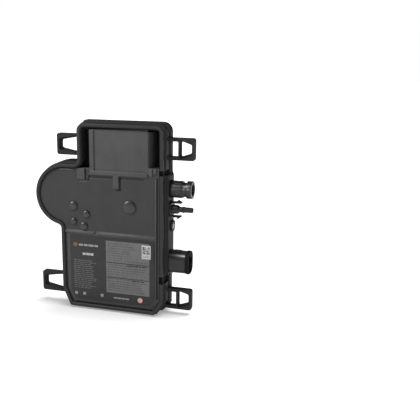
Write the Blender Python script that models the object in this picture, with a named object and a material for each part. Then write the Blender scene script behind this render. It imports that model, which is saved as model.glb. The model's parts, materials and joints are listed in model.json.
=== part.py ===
"""A solar microinverter in a flat moulded housing, with its DC and AC connectors on one side.

The back face lies in the plane Y = 0 and the front looks along -Y. X runs to the right as the front
is seen, Z runs up, and the origin is the middle of the back face. Dimensions are in millimetres,
and add_object() turns them into Blender's metres.
"""

import math

import bmesh
import bpy
from mathutils import Matrix, Vector

MM = 0.001

# Housing outline, as the front is seen
HALF_WIDTH = 59.5
HALF_HEIGHT = 104.0
UPPER_LEFT_X = -38.0
SHOULDER_FILLET = 6.0
BULGE_X = -54.5
BULGE_Z = 24.5
BULGE_RADIUS = 34.6
WAIST_FILLET = 5.0
TOP_RIGHT_RADIUS = 8.0
LEFT_CHAMFER_RUN = 9.0
LEFT_CHAMFER_RISE = 20.5
CHAMFER_ROUNDING = 1.8

# Two corners differ between the front and the back flange: radius of the upper left one, and run
# and rise of the lower right chamfer
FRONT_CORNERS = (8.0, 10.0, 14.5)
FLANGE_CORNERS = (2.0, 7.8, 7.4)

# Depths, all measured forward from the back face, so they are negative
FRONT_Y = -30.2
PLATE_Y = -27.8
PANEL_Y = -28.4
PLATE_EDGE_Y = -26.6
PLATE_BACK_Y = -25.2
LIP_BACK_Y = -26.9
FRAME_GROOVE_Y = -26.0
FRAME_BACK_Y = -24.9
REAR_TOP_Y = -24.0
NOTCH_FLOOR_Y = -12.0
PAD_FRONT_Y = -21.0
REAR_GROOVE_Y = -14.0
REAR_FLANGE_Y = -9.5
BACK_FLOOR_Y = -2.4
BOARD_BACK_Y = -5.0
BOARD_Y = -6.6
MOAT_FLOOR_Y = -10.8
MOAT_BACK_Y = -9.0
PLATE_THICKNESS = 2.0

# Clearance between two pieces that would touch
GAP = 0.3

# Insets of the housing outline
REAR_FLANGE_INSET = -2.0
REAR_BAND_INSET = -1.5
REAR_GROOVE_INSET = 1.0
CAVITY_INSET = 3.2
FRAME_GROOVE_INSET = 1.3
SKIRT_INSET = 2.2
PLATE_EDGE_INSET = 2.5
LIP_INSET = 4.0
PLATE_INSET = 5.2
LINER_INSET = 3.5
MOAT_INSET = 4.7
BOARD_INSET = 5.0

# The raised block in the upper pocket, and the deep moats beside it
BLOCK_LEFT = -24.0
BLOCK_RIGHT = 42.0
BLOCK_BOTTOM = 53.5
BLOCK_TOP = 97.6
BLOCK_FACE_Y = -27.3
BLOCK_RIDGE = 4.8
MOAT_LEFT_BOTTOM = 55.7
MOAT_RIGHT_BOTTOM = 59.2

# The side that carries the connectors
PAD_X = 63.0
PAD_TOP = 50.0
PAD_BOTTOM = -60.0
UPPER_NOTCH_Z = (51.8, 57.2)
LOWER_NOTCH_Z = (-67.5, -59.0)
SOCKET_X = PAD_X + GAP
CONNECTOR_Y = -11.5
DC_SOCKET_Z = 35.5
DC_PLUG_Z = 13.4
AC_Z = -45.2
LED_Z = -5.8
LED_Y = -8.0
DC_SOCKET_END = 87.2
DC_PLUG_END = 87.5
AC_END = 85.6
LATCH_PIVOT_X = 65.6
LATCH_OFFSET = 7.7

# Mounting ears: name, side, height of the centre, reach from the wall, and the crossbar's place
EAR_FRONT_Y = -14.0
EAR_BACK_Y = -7.0
EAR_HALF_HEIGHT = 11.9
EAR_ARM_Z = 8.0
EAR_BAR = 2.8
EAR_END_BAR = 4.6
EAR_ROOT = 14.0
EAR_RECESS_INSET = 1.4
EARS = (
    ("mounting_ear_upper_left", -1, UPPER_LEFT_X, 78.8, 29.5, 3.6),
    ("mounting_ear_upper_right", 1, HALF_WIDTH, 78.7, 27.6, 9.4),
    ("mounting_ear_lower_left", -1, -HALF_WIDTH, -83.2, 32.0, 3.6),
    ("mounting_ear_lower_right", 1, HALF_WIDTH, -88.3, 26.1, 8.4),
)

# Domed plugs on the front plate: name, X, Z, head radius
PLUGS = (
    ("fill_plug", 21.3, 15.6, 7.4),
    ("vent_plug_1", -44.6, 13.0, 5.0),
    ("vent_plug_2", -29.2, 4.5, 4.2),
    ("vent_plug_3", -44.5, -4.6, 3.8),
    ("vent_plug_4", -32.5, -9.4, 4.6),
)
PLUG_RISE = 1.9

STANDOFFS = ((-46.0, -88.0), (46.0, -88.0), (46.5, 88.0), (-27.0, 88.0))


# ---------------------------------------------------------------- shapes


def arc(centre_x, centre_z, radius, start, end, steps):
    """Points along an arc from one angle to another, in degrees."""
    angles = [math.radians(start + (end - start) * i / steps) for i in range(steps + 1)]
    return [(centre_x + radius * math.cos(a), centre_z + radius * math.sin(a)) for a in angles]


def meet(first, second):
    """The point where two lines (normal_x, normal_z, distance) cross."""
    ax, az, a = first
    bx, bz, b = second
    scale = ax * bz - az * bx
    return ((a * bz - az * b) / scale, (ax * b - a * bx) / scale)


def rounded_corner(before, corner, after, radius, steps):
    """The corner's arc, from the side of before to the side of after."""
    here = Vector(corner)
    to_before = (Vector(before) - here).normalized()
    to_after = (Vector(after) - here).normalized()
    half = to_before.angle(to_after) / 2
    middle = (to_before + to_after).normalized()
    centre = here + middle * (radius / math.sin(half))
    first = (here + to_before * (radius / math.tan(half)) - centre).normalized()
    last = (here + to_after * (radius / math.tan(half)) - centre).normalized()
    return [tuple(centre + radius * first.slerp(last, i / steps)) for i in range(steps + 1)]


def rounded_polygon(corners, steps=3):
    """A polygon from (x, z, radius) corners, a radius of 0 leaving a corner sharp."""
    points = []
    for i, (x, z, radius) in enumerate(corners):
        before = corners[i - 1][:2]
        after = corners[(i + 1) % len(corners)][:2]
        points += rounded_corner(before, (x, z), after, radius, steps) if radius else [(x, z)]
    return points


def chamfer_line(side, run, rise, inset):
    """The slanted lower corner's line, on the left (side -1) or the right (side 1)."""
    length = math.hypot(run, rise)
    normal_x = side * rise / length
    normal_z = -run / length
    through_x = side * HALF_WIDTH
    through_z = rise - HALF_HEIGHT
    return (normal_x, normal_z, normal_x * through_x + normal_z * through_z - inset)


def outline(inset, corners=FRONT_CORNERS, corner_steps=3, bulge_steps=16):
    """The housing's outline drawn in by inset. It has the same number of points at every inset."""
    top_left_radius, right_run, right_rise = corners
    left_chamfer = chamfer_line(-1, LEFT_CHAMFER_RUN, LEFT_CHAMFER_RISE, inset)
    right_chamfer = chamfer_line(1, right_run, right_rise, inset)
    left = (-1.0, 0.0, HALF_WIDTH - inset)
    right = (1.0, 0.0, HALF_WIDTH - inset)
    bottom = (0.0, -1.0, HALF_HEIGHT - inset)
    small = max(CHAMFER_ROUNDING - inset, 0.5)
    top_left_round = max(top_left_radius - inset, 0.5)
    top_right_round = max(TOP_RIGHT_RADIUS - inset, 0.5)
    shoulder_z = BULGE_Z + BULGE_RADIUS
    waist_x = -HALF_WIDTH - WAIST_FILLET
    reach = BULGE_RADIUS + WAIST_FILLET
    waist_z = BULGE_Z - math.sqrt(reach**2 - (waist_x - BULGE_X) ** 2)
    waist_angle = math.degrees(math.atan2(BULGE_Z - waist_z, BULGE_X - waist_x))
    low_left = meet(bottom, left_chamfer)
    high_left = meet(left_chamfer, left)
    high_right = meet(right_chamfer, right)
    low_right = meet(bottom, right_chamfer)
    top_left = (UPPER_LEFT_X + inset, HALF_HEIGHT - inset)
    top_right = (HALF_WIDTH - inset, HALF_HEIGHT - inset)
    waist_point = (-HALF_WIDTH + inset, waist_z)
    fillet_x = UPPER_LEFT_X - SHOULDER_FILLET
    fillet_z = shoulder_z + SHOULDER_FILLET
    steps = corner_steps
    points = rounded_corner(low_right, low_left, high_left, small, 2)
    points += rounded_corner(low_left, high_left, waist_point, small, 2)
    points += arc(waist_x, waist_z, WAIST_FILLET + inset, 0, waist_angle, 3)
    points += arc(BULGE_X, BULGE_Z, BULGE_RADIUS - inset, waist_angle + 180, 90, bulge_steps)[1:]
    points += arc(fillet_x, fillet_z, SHOULDER_FILLET + inset, -90, 0, steps)
    points += rounded_corner((top_left[0], 0), top_left, top_right, top_left_round, steps)
    points += rounded_corner(top_left, top_right, (top_right[0], 0), top_right_round, steps)
    points += rounded_corner(top_right, high_right, low_right, small, 2)
    points += rounded_corner(high_right, low_right, low_left, small, 2)
    return points


# ---------------------------------------------------------------- objects


def material(name, colour, roughness, metallic=0.0):
    """A plain Principled material."""
    made = bpy.data.materials.get(name)
    if made is None:
        made = bpy.data.materials.new(name)
        made.use_nodes = True
        shader = made.node_tree.nodes["Principled BSDF"]
        shader.inputs["Base Color"].default_value = (*colour, 1.0)
        shader.inputs["Roughness"].default_value = roughness
        shader.inputs["Metallic"].default_value = metallic
    return made


def add_object(name, mesh_data, origin=(0.0, 0.0, 0.0)):
    """An object from a bmesh in millimetres, with its origin at a point of the assembly."""
    bmesh.ops.recalc_face_normals(mesh_data, faces=mesh_data.faces)
    place = Vector(origin)
    mesh_data.transform(Matrix.Scale(MM, 4) @ Matrix.Translation(-place))
    mesh = bpy.data.meshes.new(name)
    mesh_data.to_mesh(mesh)
    mesh_data.free()
    made = bpy.data.objects.new(name, mesh)
    made.location = place * MM
    bpy.context.scene.collection.objects.link(made)
    return made


def skin(mesh_data, loops, closed_along, closed_around=True):
    """Joins rings of points into faces: round the loops, and from the last to the first if closed."""
    rings = [[mesh_data.verts.new(point) for point in loop] for loop in loops]
    count = len(rings[0])
    pairs = list(zip(rings, rings[1:]))
    if closed_along:
        pairs.append((rings[-1], rings[0]))
    for first, second in pairs:
        for i in range(count if closed_around else count - 1):
            j = (i + 1) % count
            mesh_data.faces.new((first[i], first[j], second[j], second[i]))
    if not closed_along:
        mesh_data.faces.new(rings[0])
        mesh_data.faces.new(rings[-1])
    return rings


def sweep_outline(name, profile, ring=False):
    """A solid whose section is (inset, y) points taken round the housing's outline.

    A ring's section is closed. Any other section ends in two flat faces, at its first and last point.
    A point may carry a third item, the corners of the outline at that point.
    """
    shape = bmesh.new()
    loops = [[(x, y, z) for x, z in outline(inset, *corners)] for inset, y, *corners in profile]
    skin(shape, loops, ring)
    return add_object(name, shape)


def prism(name, points, front, back, axis="Y", origin=(0.0, 0.0, 0.0)):
    """A flat shape pushed along an axis: (x, z) points along Y, (y, z) along X, (x, y) along Z."""
    shape = bmesh.new()
    if axis == "Y":
        loops = [[(a, depth, b) for a, b in points] for depth in (front, back)]
    elif axis == "X":
        loops = [[(depth, a, b) for a, b in points] for depth in (front, back)]
    else:
        loops = [[(a, b, depth) for a, b in points] for depth in (front, back)]
    skin(shape, loops, False)
    return add_object(name, shape, origin)


def box(name, x_range, y_range, z_range, origin=(0.0, 0.0, 0.0)):
    """A plain block between three pairs of limits."""
    corners = [(x_range[i], z_range[j]) for i, j in ((0, 0), (1, 0), (1, 1), (0, 1))]
    return prism(name, corners, y_range[0], y_range[1], origin=origin)


def turned(name, profile, axis, centre, segments=24, tube=False):
    """A solid of revolution from (along, radius) points, about an axis through centre.

    For axis X the centre is (y, z), and for axis Y it is (x, z). A tube's profile is a closed loop.
    """
    shape = bmesh.new()
    angles = [2 * math.pi * i / segments for i in range(segments)]
    loops = []
    for along, radius in profile:
        circle = [(radius * math.cos(a), radius * math.sin(a)) for a in angles]
        if axis == "X":
            loops.append([(along, centre[0] + p, centre[1] + q) for p, q in circle])
        else:
            loops.append([(centre[0] + p, along, centre[1] + q) for p, q in circle])
    skin(shape, loops, tube)
    made = add_object(name, shape)
    made.data.shade_smooth()
    made.data.set_sharp_from_angle(angle=math.radians(35))
    return made


def combine(target, tool, operation):
    """Applies a Boolean of the tool to the target and removes the tool."""
    modifier = target.modifiers.new(operation.lower(), "BOOLEAN")
    modifier.operation = operation
    modifier.solver = "EXACT"
    modifier.object = tool
    bpy.context.view_layer.update()
    graph = bpy.context.evaluated_depsgraph_get()
    result = bpy.data.meshes.new_from_object(target.evaluated_get(graph))
    target.modifiers.clear()
    target.data = result
    bpy.data.objects.remove(tool)


def cut(target, *tools):
    """Cuts each tool out of the target."""
    for tool in tools:
        combine(target, tool, "DIFFERENCE")


def join(target, *tools):
    """Unites each tool with the target."""
    for tool in tools:
        combine(target, tool, "UNION")


def finish(made, slot):
    """Gives an object its only material."""
    made.data.materials.clear()
    made.data.materials.append(slot)
    return made


# ---------------------------------------------------------------- housing


def ear_arms(side, wall_x, centre_z, room):
    """Boxes for an ear's two arms where they pass into the wall, with room left round them."""
    near, far = sorted((wall_x - side * EAR_ROOT, wall_x + side * EAR_ROOT * 0.5))
    depth = (EAR_FRONT_Y - room, EAR_BACK_Y + room)
    arms = []
    for low, high in ((EAR_ARM_Z, EAR_HALF_HEIGHT), (-EAR_HALF_HEIGHT, -EAR_ARM_Z)):
        limits = (centre_z + low - room, centre_z + high + room)
        arms.append(box("arm", (near, far), depth, limits))
    return arms


def inner_block(inset):
    """The housing's outline as a block over the ears' depth, to end the arms or their recesses."""
    return prism("inner_block", outline(inset), EAR_FRONT_Y - 2.0, EAR_BACK_Y + 2.0)


def wall_notches():
    """Boxes for the two pockets in the connector side, from the front frame into the wall."""
    pockets = []
    for limits in (UPPER_NOTCH_Z, LOWER_NOTCH_Z):
        pockets.append(box("notch", (58.3, 66.0), (FRONT_Y - 2.0, NOTCH_FLOOR_Y), limits))
    return pockets


def connector_pad():
    """The raised strip of wall that the connectors stand on."""
    wall_x, root_x = 60.5, 58.0
    upper_slope, lower_slope = 5.0, 8.0
    face = [
        (root_x, PAD_BOTTOM - lower_slope),
        (wall_x, PAD_BOTTOM - lower_slope),
        (PAD_X, PAD_BOTTOM),
        (PAD_X, PAD_TOP),
        (wall_x, PAD_TOP + upper_slope),
        (root_x, PAD_TOP + upper_slope),
    ]
    return prism("pad", face, PAD_FRONT_Y, -0.9)


def rear_housing(plastic):
    """The deep back shell: floor, grooved walls, back flange, connector pad and board standoffs."""
    shell = sweep_outline(
        "rear_housing",
        [
            (CAVITY_INSET, BACK_FLOOR_Y),
            (CAVITY_INSET, REAR_TOP_Y),
            (REAR_BAND_INSET + 0.5, REAR_TOP_Y),
            (REAR_BAND_INSET, REAR_TOP_Y + 0.5),
            (REAR_BAND_INSET, REAR_GROOVE_Y),
            (REAR_GROOVE_INSET, REAR_GROOVE_Y + 0.4),
            (REAR_GROOVE_INSET, REAR_FLANGE_Y - 0.4),
            (REAR_FLANGE_INSET + 0.4, REAR_FLANGE_Y, FLANGE_CORNERS),
            (REAR_FLANGE_INSET, REAR_FLANGE_Y + 0.4, FLANGE_CORNERS),
            (REAR_FLANGE_INSET, -0.9, FLANGE_CORNERS),
            (REAR_FLANGE_INSET + 0.9, 0.0, FLANGE_CORNERS),
        ],
    )
    join(shell, connector_pad())
    for x, z in STANDOFFS:
        post = [(BOARD_BACK_Y + GAP, 3.4), (BACK_FLOOR_Y + 1.0, 3.4)]
        join(shell, turned("post", post, "Y", (x, z), 12))
        hole = [(BOARD_BACK_Y - 1.0, 1.6), (BACK_FLOOR_Y + 0.6, 1.6)]
        cut(shell, turned("hole", hole, "Y", (x, z), 10))
    for radius, y, z in (
        (4.8, CONNECTOR_Y, DC_SOCKET_Z),
        (4.8, CONNECTOR_Y, DC_PLUG_Z),
        (7.6, CONNECTOR_Y, AC_Z),
        (2.7, LED_Y, LED_Z),
    ):
        cut(shell, turned("hole", [(50.0, radius), (70.0, radius)], "X", (y, z), 16))
    for _, side, wall_x, centre_z, _, _ in EARS:
        for recess in ear_arms(side, wall_x, centre_z, GAP):
            cut(recess, inner_block(EAR_RECESS_INSET))
            cut(shell, recess)
    cut(shell, *wall_notches())
    return finish(shell, plastic)


def front_frame(plastic):
    """The rim that stands round the front plate and holds the plate's edge under its lip."""
    frame = sweep_outline(
        "front_frame",
        [
            (0.6, FRONT_Y),
            (0.0, FRONT_Y + 0.6),
            (0.0, FRAME_GROOVE_Y - 0.4),
            (0.4, FRAME_GROOVE_Y),
            (FRAME_GROOVE_INSET, FRAME_GROOVE_Y),
            (FRAME_GROOVE_INSET, FRAME_BACK_Y),
            (SKIRT_INSET, FRAME_BACK_Y),
            (SKIRT_INSET, LIP_BACK_Y),
            (LIP_INSET, LIP_BACK_Y),
            (LIP_INSET, FRONT_Y + 0.5),
            (LIP_INSET - 0.5, FRONT_Y),
        ],
        ring=True,
    )
    in_front = FRONT_Y - 2.0
    cut(
        frame,
        *wall_notches(),
        box("upper_notch", (56.6, 60.0), (in_front, REAR_TOP_Y), UPPER_NOTCH_Z),
        box("lower_notch", (54.0, 60.0), (in_front, LIP_BACK_Y + 0.5), LOWER_NOTCH_Z),
    )
    return finish(frame, plastic)


def moat(x_range, bottom):
    """A deep pocket between the block and the front frame's lip."""
    pocket = prism("moat", outline(MOAT_INSET), FRONT_Y - 2.0, MOAT_FLOOR_Y)
    combine(pocket, box("limits", x_range, (-40.0, 0.0), (bottom, 110.0)), "INTERSECT")
    return pocket


def block_flank():
    """The slope from the block's right side down into the moat."""
    section = [
        (BLOCK_RIGHT - 1.0, -26.9),
        (BLOCK_RIGHT + 1.2, -26.6),
        (BLOCK_RIGHT + 4.6, -23.0),
        (BLOCK_RIGHT + 6.6, -17.0),
        (BLOCK_RIGHT + 7.0, MOAT_FLOOR_Y + 0.5),
        (BLOCK_RIGHT - 1.0, MOAT_FLOOR_Y + 0.5),
    ]
    return prism("flank", section, MOAT_RIGHT_BOTTOM - 0.5, BLOCK_TOP - 0.8, axis="Z")


def front_cover(plastic):
    """The inset front plate, with the hollow block and moats of the upper pocket."""
    under = PLATE_Y + PLATE_THICKNESS
    cover = sweep_outline(
        "front_cover",
        [
            (PLATE_INSET + 0.5, PLATE_Y),
            (PLATE_INSET, PLATE_Y + 0.5),
            (PLATE_INSET, PLATE_EDGE_Y),
            (PLATE_EDGE_INSET, PLATE_EDGE_Y),
            (PLATE_EDGE_INSET, PLATE_BACK_Y),
            (PLATE_INSET + 1.8, PLATE_BACK_Y),
            (PLATE_INSET + 1.8, under),
        ],
    )
    liner = prism("liner", outline(LINER_INSET), under - 0.4, MOAT_BACK_Y)
    combine(liner, box("limits", (-42.0, 70.0), (-40.0, 0.0), (BLOCK_BOTTOM, 110.0)), "INTERSECT")
    join(cover, liner)
    panel = [
        (-51.5, -18.0),
        (51.5, -18.0),
        (51.5, -86.0),
        (45.0, -96.5),
        (-45.0, -96.5),
        (-51.5, -86.0),
    ]
    join(cover, prism("panel", panel, PANEL_Y, under - 0.5))
    in_front = FRONT_Y - 2.0
    face_x = (BLOCK_LEFT + BLOCK_RIDGE, BLOCK_RIGHT + 1.0)
    inside_x = (BLOCK_LEFT + 2.0, BLOCK_RIGHT - 2.0)
    cut(
        cover,
        moat((-41.0, BLOCK_LEFT), MOAT_LEFT_BOTTOM),
        moat((BLOCK_RIGHT, 70.0), MOAT_RIGHT_BOTTOM),
        box("face", face_x, (in_front, BLOCK_FACE_Y), (BLOCK_BOTTOM, BLOCK_TOP - 0.8)),
        box("above", (-41.0, 58.0), (in_front, PLATE_EDGE_Y), (BLOCK_TOP, 99.5)),
        box("inside", inside_x, (under, -8.0), (BLOCK_BOTTOM + 2.0, BLOCK_TOP - 1.4)),
    )
    join(cover, block_flank())
    groove = PLATE_Y + 1.4
    cut(
        cover,
        box("groove_left", (-26.0, 2.2), (in_front, groove), (45.4, 47.8)),
        box("groove_right", (9.4, 37.3), (in_front, groove), (45.4, 47.8)),
        box("groove_stem", (9.4, 11.4), (in_front, groove), (33.0, 46.8)),
        box("tab_slit", (-30.4, -28.4), (in_front, groove), (43.0, 57.0)),
    )
    for _, x, z, radius in PLUGS:
        hole = [(in_front, radius * 0.6 + GAP), (under + 5.0, radius * 0.6 + GAP)]
        cut(cover, turned("hole", hole, "Y", (x, z), 16))
    return finish(cover, plastic)


def gaskets(rubber):
    """The two soft rings on the rear housing: under the front frame, and under the plate's edge."""
    back = REAR_TOP_Y - GAP
    for name, near, far, front in (
        ("frame_gasket", 1.4, 2.1, FRAME_BACK_Y + GAP),
        ("cover_gasket", 2.5, 3.1, PLATE_BACK_Y + GAP),
    ):
        section = [(near, front), (near, back), (far, back), (far, front)]
        finish(sweep_outline(name, section, ring=True), rubber)


def plugs(rubber):
    """The domed plugs that close the filling and venting holes of the plate."""
    for name, x, z, radius in PLUGS:
        crown = PLATE_Y - GAP
        profile = [
            (-24.4, radius * 0.6),
            (crown, radius * 0.6),
            (crown, radius),
            (crown - PLUG_RISE * 0.45, radius * 0.96),
            (crown - PLUG_RISE * 0.8, radius * 0.78),
            (crown - PLUG_RISE, radius * 0.4),
        ]
        finish(turned(name, profile, "Y", (x, z), 16), rubber)


def ear_outlines(side, wall_x, centre_z, reach, crossbar):
    """The face of an ear and its two openings, as seen from the front."""
    wall = wall_x - side * REAR_FLANGE_INSET

    def place(points):
        return rounded_polygon([(wall + side * u, centre_z + w, radius) for u, w, radius in points])

    half = EAR_HALF_HEIGHT
    arm = EAR_ARM_Z
    near = crossbar + EAR_BAR
    far = reach - EAR_END_BAR
    face = place([(-EAR_ROOT, -half, 0), (reach, -half, 2.6), (reach, half, 2.6), (-EAR_ROOT, half, 0)])
    far_arm = arm - 3.6
    window = place([(near, -arm, 1.0), (far, -far_arm, 2.0), (far, far_arm, 2.0), (near, arm, 1.0)])
    behind = -EAR_ROOT - 1.0
    gap = place([(behind, -arm, 0), (crossbar, -arm, 1.0), (crossbar, arm, 1.0), (behind, arm, 0)])
    return face, window, gap


def mounting_ears(plastic):
    """The four slotted ears, each with two arms that end in the rear housing's recesses."""
    past_front = EAR_FRONT_Y - 1.0
    past_back = EAR_BACK_Y + 1.0
    for name, side, wall_x, centre_z, reach, crossbar in EARS:
        face, window, gap = ear_outlines(side, wall_x, centre_z, reach, crossbar)
        ear = prism(name, face, EAR_FRONT_Y, EAR_BACK_Y)
        cut(ear, prism("window", window, past_front, past_back))
        cut(ear, prism("gap", gap, past_front, past_back))
        cut(ear, inner_block(EAR_RECESS_INSET - GAP))
        finish(ear, plastic)


def labels(film, paper):
    """The rating label on the raised panel, and the small code label on it."""
    sheet = [
        (-49.6, -19.6, 1.0),
        (49.6, -19.6, 1.0),
        (49.6, -85.5, 1.0),
        (44.0, -94.8, 1.0),
        (-44.0, -94.8, 1.0),
        (-49.6, -85.5, 1.0),
    ]
    back = PANEL_Y - GAP
    finish(prism("rating_label", rounded_polygon(sheet, 2), back - 0.25, back), film)
    code_back = back - 0.25 - GAP
    finish(box("code_label", (35.4, 45.7), (code_back - 0.2, code_back), (-40.6, -25.2)), paper)


# ---------------------------------------------------------------- connectors


def nut(name, bore, z, plastic):
    """A hexagonal nut that clamps a connector from inside the wall."""
    y = CONNECTOR_Y
    inner_wall = HALF_WIDTH - CAVITY_INSET
    points = arc(y, z, 7.4, 0, 300, 5)
    made = prism(name, points, inner_wall - GAP - 2.6, inner_wall - GAP, axis="X")
    cut(made, turned("bore", [(50.0, bore), (60.0, bore)], "X", (y, z), 16))
    return finish(made, plastic)


def contact(name, z, tip, radius, y, metal, bore=0.0):
    """A contact that runs through the wall and turns down onto the circuit board."""
    tail = 45.0
    made = turned(name, [(tail, radius), (tip - 0.8, radius), (tip, radius * 0.55)], "X", (y, z), 12)
    foot = box("foot", (tail, tail + 3.0), (y, BOARD_Y - GAP), (z - radius * 0.8, z + radius * 0.8))
    join(made, foot)
    if bore:
        cut(made, turned("bore", [(tip - 12.0, bore), (tip + 1.0, bore)], "X", (y, z), 10))
    return finish(made, metal)


def dc_socket(plastic, metal):
    """The wide DC connector, whose two windows take the mating connector's latches."""
    y, z = CONNECTOR_Y, DC_SOCKET_Z
    mouth = 70.0
    body = turned(
        "dc_socket_housing",
        [
            (53.0, 4.4),
            (SOCKET_X, 4.4),
            (SOCKET_X, 9.4),
            (SOCKET_X + 13.6, 9.4),
            (SOCKET_X + 13.6, 9.0),
            (SOCKET_X + 18.0, 9.0),
            (SOCKET_X + 18.0, 9.6),
            (DC_SOCKET_END - 0.6, 9.6),
            (DC_SOCKET_END, 9.0),
            (DC_SOCKET_END, 6.4),
            (mouth, 6.4),
            (mouth, 2.4),
            (53.0, 2.4),
        ],
        "X",
        (y, z),
        24,
        tube=True,
    )
    start = SOCKET_X + 13.6
    end = SOCKET_X + 18.0
    for side in (1, -1):
        low, high = sorted((z + side * 5.6, z + side * 11.0))
        cut(body, box("window", (start, end), (y - 5.2, y + 5.2), (low, high)))
    finish(body, plastic)
    nut("dc_socket_nut", 4.7, z, plastic)
    contact("dc_socket_contact", z, 82.0, 2.0, y, metal)


def dc_plug(plastic, metal):
    """The slim DC connector: a nose between two spring latches."""
    y, z = CONNECTOR_Y, DC_PLUG_Z
    body = turned(
        "dc_plug_housing",
        [
            (53.0, 4.4),
            (SOCKET_X, 4.4),
            (SOCKET_X, 9.2),
            (SOCKET_X + 1.7, 9.2),
            (SOCKET_X + 1.7, 5.0),
            (SOCKET_X + 7.5, 4.8),
            (SOCKET_X + 9.6, 3.2),
            (DC_PLUG_END - 0.5, 2.9),
            (DC_PLUG_END, 2.6),
            (DC_PLUG_END, 1.95),
            (53.0, 1.95),
        ],
        "X",
        (y, z),
        20,
        tube=True,
    )
    finish(body, plastic)
    nut("dc_plug_nut", 4.7, z, plastic)
    contact("dc_plug_contact", z, 86.0, 1.6, y, metal, bore=0.8)
    for name, side in (("latch_arm_upper", 1), ("latch_arm_lower", -1)):
        latch_arm(name, side, y, z, plastic)


def latch_arm(name, side, y, z, plastic):
    """A spring arm with a hook at its tip. Its origin is the line that it bends about."""
    pivot = (LATCH_PIVOT_X, y, z + side * LATCH_OFFSET)
    root = LATCH_PIVOT_X - 0.3
    section = [
        (root, -0.8),
        (75.0, -0.8),
        (75.4, -0.3),
        (71.6, 2.4),
        (70.8, 2.4),
        (70.4, 0.8),
        (root, 0.8),
    ]
    shape = bmesh.new()
    loops = [[(x, y + w, pivot[2] + side * up) for x, up in section] for w in (-3.0, 3.0)]
    skin(shape, loops, False)
    finish(add_object(name, shape, pivot), plastic)


def rounded_section(half_depth, half_height, radius, y, z):
    """A rounded rectangle in the plane of Y and Z."""
    corners = [
        (y - half_depth, z - half_height, radius),
        (y + half_depth, z - half_height, radius),
        (y + half_depth, z + half_height, radius),
        (y - half_depth, z + half_height, radius),
    ]
    return rounded_polygon(corners, 4)


def ac_socket(plastic, insulator, metal):
    """The AC connector: a keyed shroud round an insert with two pins."""
    y, z = CONNECTOR_Y + 0.3, AC_Z
    shroud = prism("ac_socket_housing", rounded_section(9.8, 12.3, 8.2, y, z), SOCKET_X, AC_END - 3.6, "X")
    join(shroud, prism("lip", rounded_section(10.3, 12.8, 8.6, y, z), AC_END - 4.0, AC_END, "X"))
    join(shroud, box("key", (SOCKET_X + 4, AC_END - 10), (y - 1.6, y + 1.6), (z + 11.0, z + 13.3)))
    join(shroud, turned("spigot", [(53.0, 7.2), (SOCKET_X + 1, 7.2)], "X", (CONNECTOR_Y, z), 16))
    cut(shroud, prism("inside", rounded_section(8.2, 10.7, 6.8, y, z), 68.0, 90.0, "X"))
    cut(shroud, turned("throat", [(50.0, 5.9), (70.0, 5.9)], "X", (CONNECTOR_Y, z), 16))
    finish(shroud, plastic)
    insert = prism("ac_socket_insert", rounded_section(7.9, 10.4, 6.5, y, z), 68.3, 74.0, "X")
    for offset in (4.2, -4.2):
        bore = [(60.0, 1.6), (80.0, 1.6)]
        cut(insert, turned("bore", bore, "X", (CONNECTOR_Y, z + offset), 10))
    finish(insert, insulator)
    contact("ac_pin_1", z + 4.2, 80.0, 1.3, CONNECTOR_Y, metal)
    contact("ac_pin_2", z - 4.2, 80.0, 1.3, CONNECTOR_Y, metal)


def status_light(plastic, clear, chip):
    """The status light: a chip on the board, a light pipe through the wall, and its bezel."""
    centre = (LED_Y, LED_Z)
    ring = [
        (SOCKET_X, 6.5),
        (SOCKET_X + 1.5, 6.2),
        (SOCKET_X + 1.9, 5.6),
        (SOCKET_X + 1.9, 4.8),
        (SOCKET_X, 4.8),
    ]
    finish(turned("led_bezel", ring, "X", centre, 20, tube=True), plastic)
    pipe = [
        (54.6, 2.3),
        (SOCKET_X, 2.3),
        (SOCKET_X, 4.5),
        (SOCKET_X + 1.2, 4.2),
        (SOCKET_X + 2.0, 2.8),
        (SOCKET_X + 2.2, 0.8),
    ]
    finish(turned("led_light_pipe", pipe, "X", centre, 16), clear)
    finish(box("status_led", (52.0, 54.2), (-8.5, BOARD_Y - GAP), (LED_Z - 1.2, LED_Z + 1.2)), chip)


# ---------------------------------------------------------------- inside


def circuit_board(laminate):
    """The main board, cut back where the connectors pass through the wall."""
    profile = [(BOARD_INSET, BOARD_Y), (BOARD_INSET, BOARD_BACK_Y)]
    board = sweep_outline("circuit_board", profile)
    notch_y = (BOARD_Y - 1.0, BOARD_BACK_Y + 1.0)
    cut(board, box("dc_notch", (49.6, 60.0), notch_y, (4.0, 47.0)))
    cut(board, box("ac_notch", (49.6, 60.0), notch_y, (AC_Z - 11.0, AC_Z + 11.0)))
    for x, z in STANDOFFS:
        hole = [(notch_y[0], 1.7), (notch_y[1], 1.7)]
        cut(board, turned("hole", hole, "Y", (x, z), 12))
    return finish(board, laminate)


def board_screws(steel):
    """The screws that hold the board to its standoffs."""
    for number, (x, z) in enumerate(STANDOFFS, start=1):
        head = BOARD_Y - GAP
        profile = [(-3.2, 1.2), (head, 1.2), (head, 2.7), (head - 1.2, 2.5), (head - 1.6, 1.5)]
        finish(turned(f"board_screw_{number}", profile, "Y", (x, z), 12), steel)


def heat_path(aluminium, silicone):
    """The plate that spreads heat over the back wall, and the pad between it and the board."""
    spreader = box("heat_spreader", (-42.0, 42.0), (-3.9, BACK_FLOOR_Y - GAP), (-78.0, 52.0))
    pad = box("thermal_pad", (-24.0, 44.0), (-4.7, -4.2), (-20.0, 40.0))
    finish(spreader, aluminium)
    finish(pad, silicone)


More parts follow.
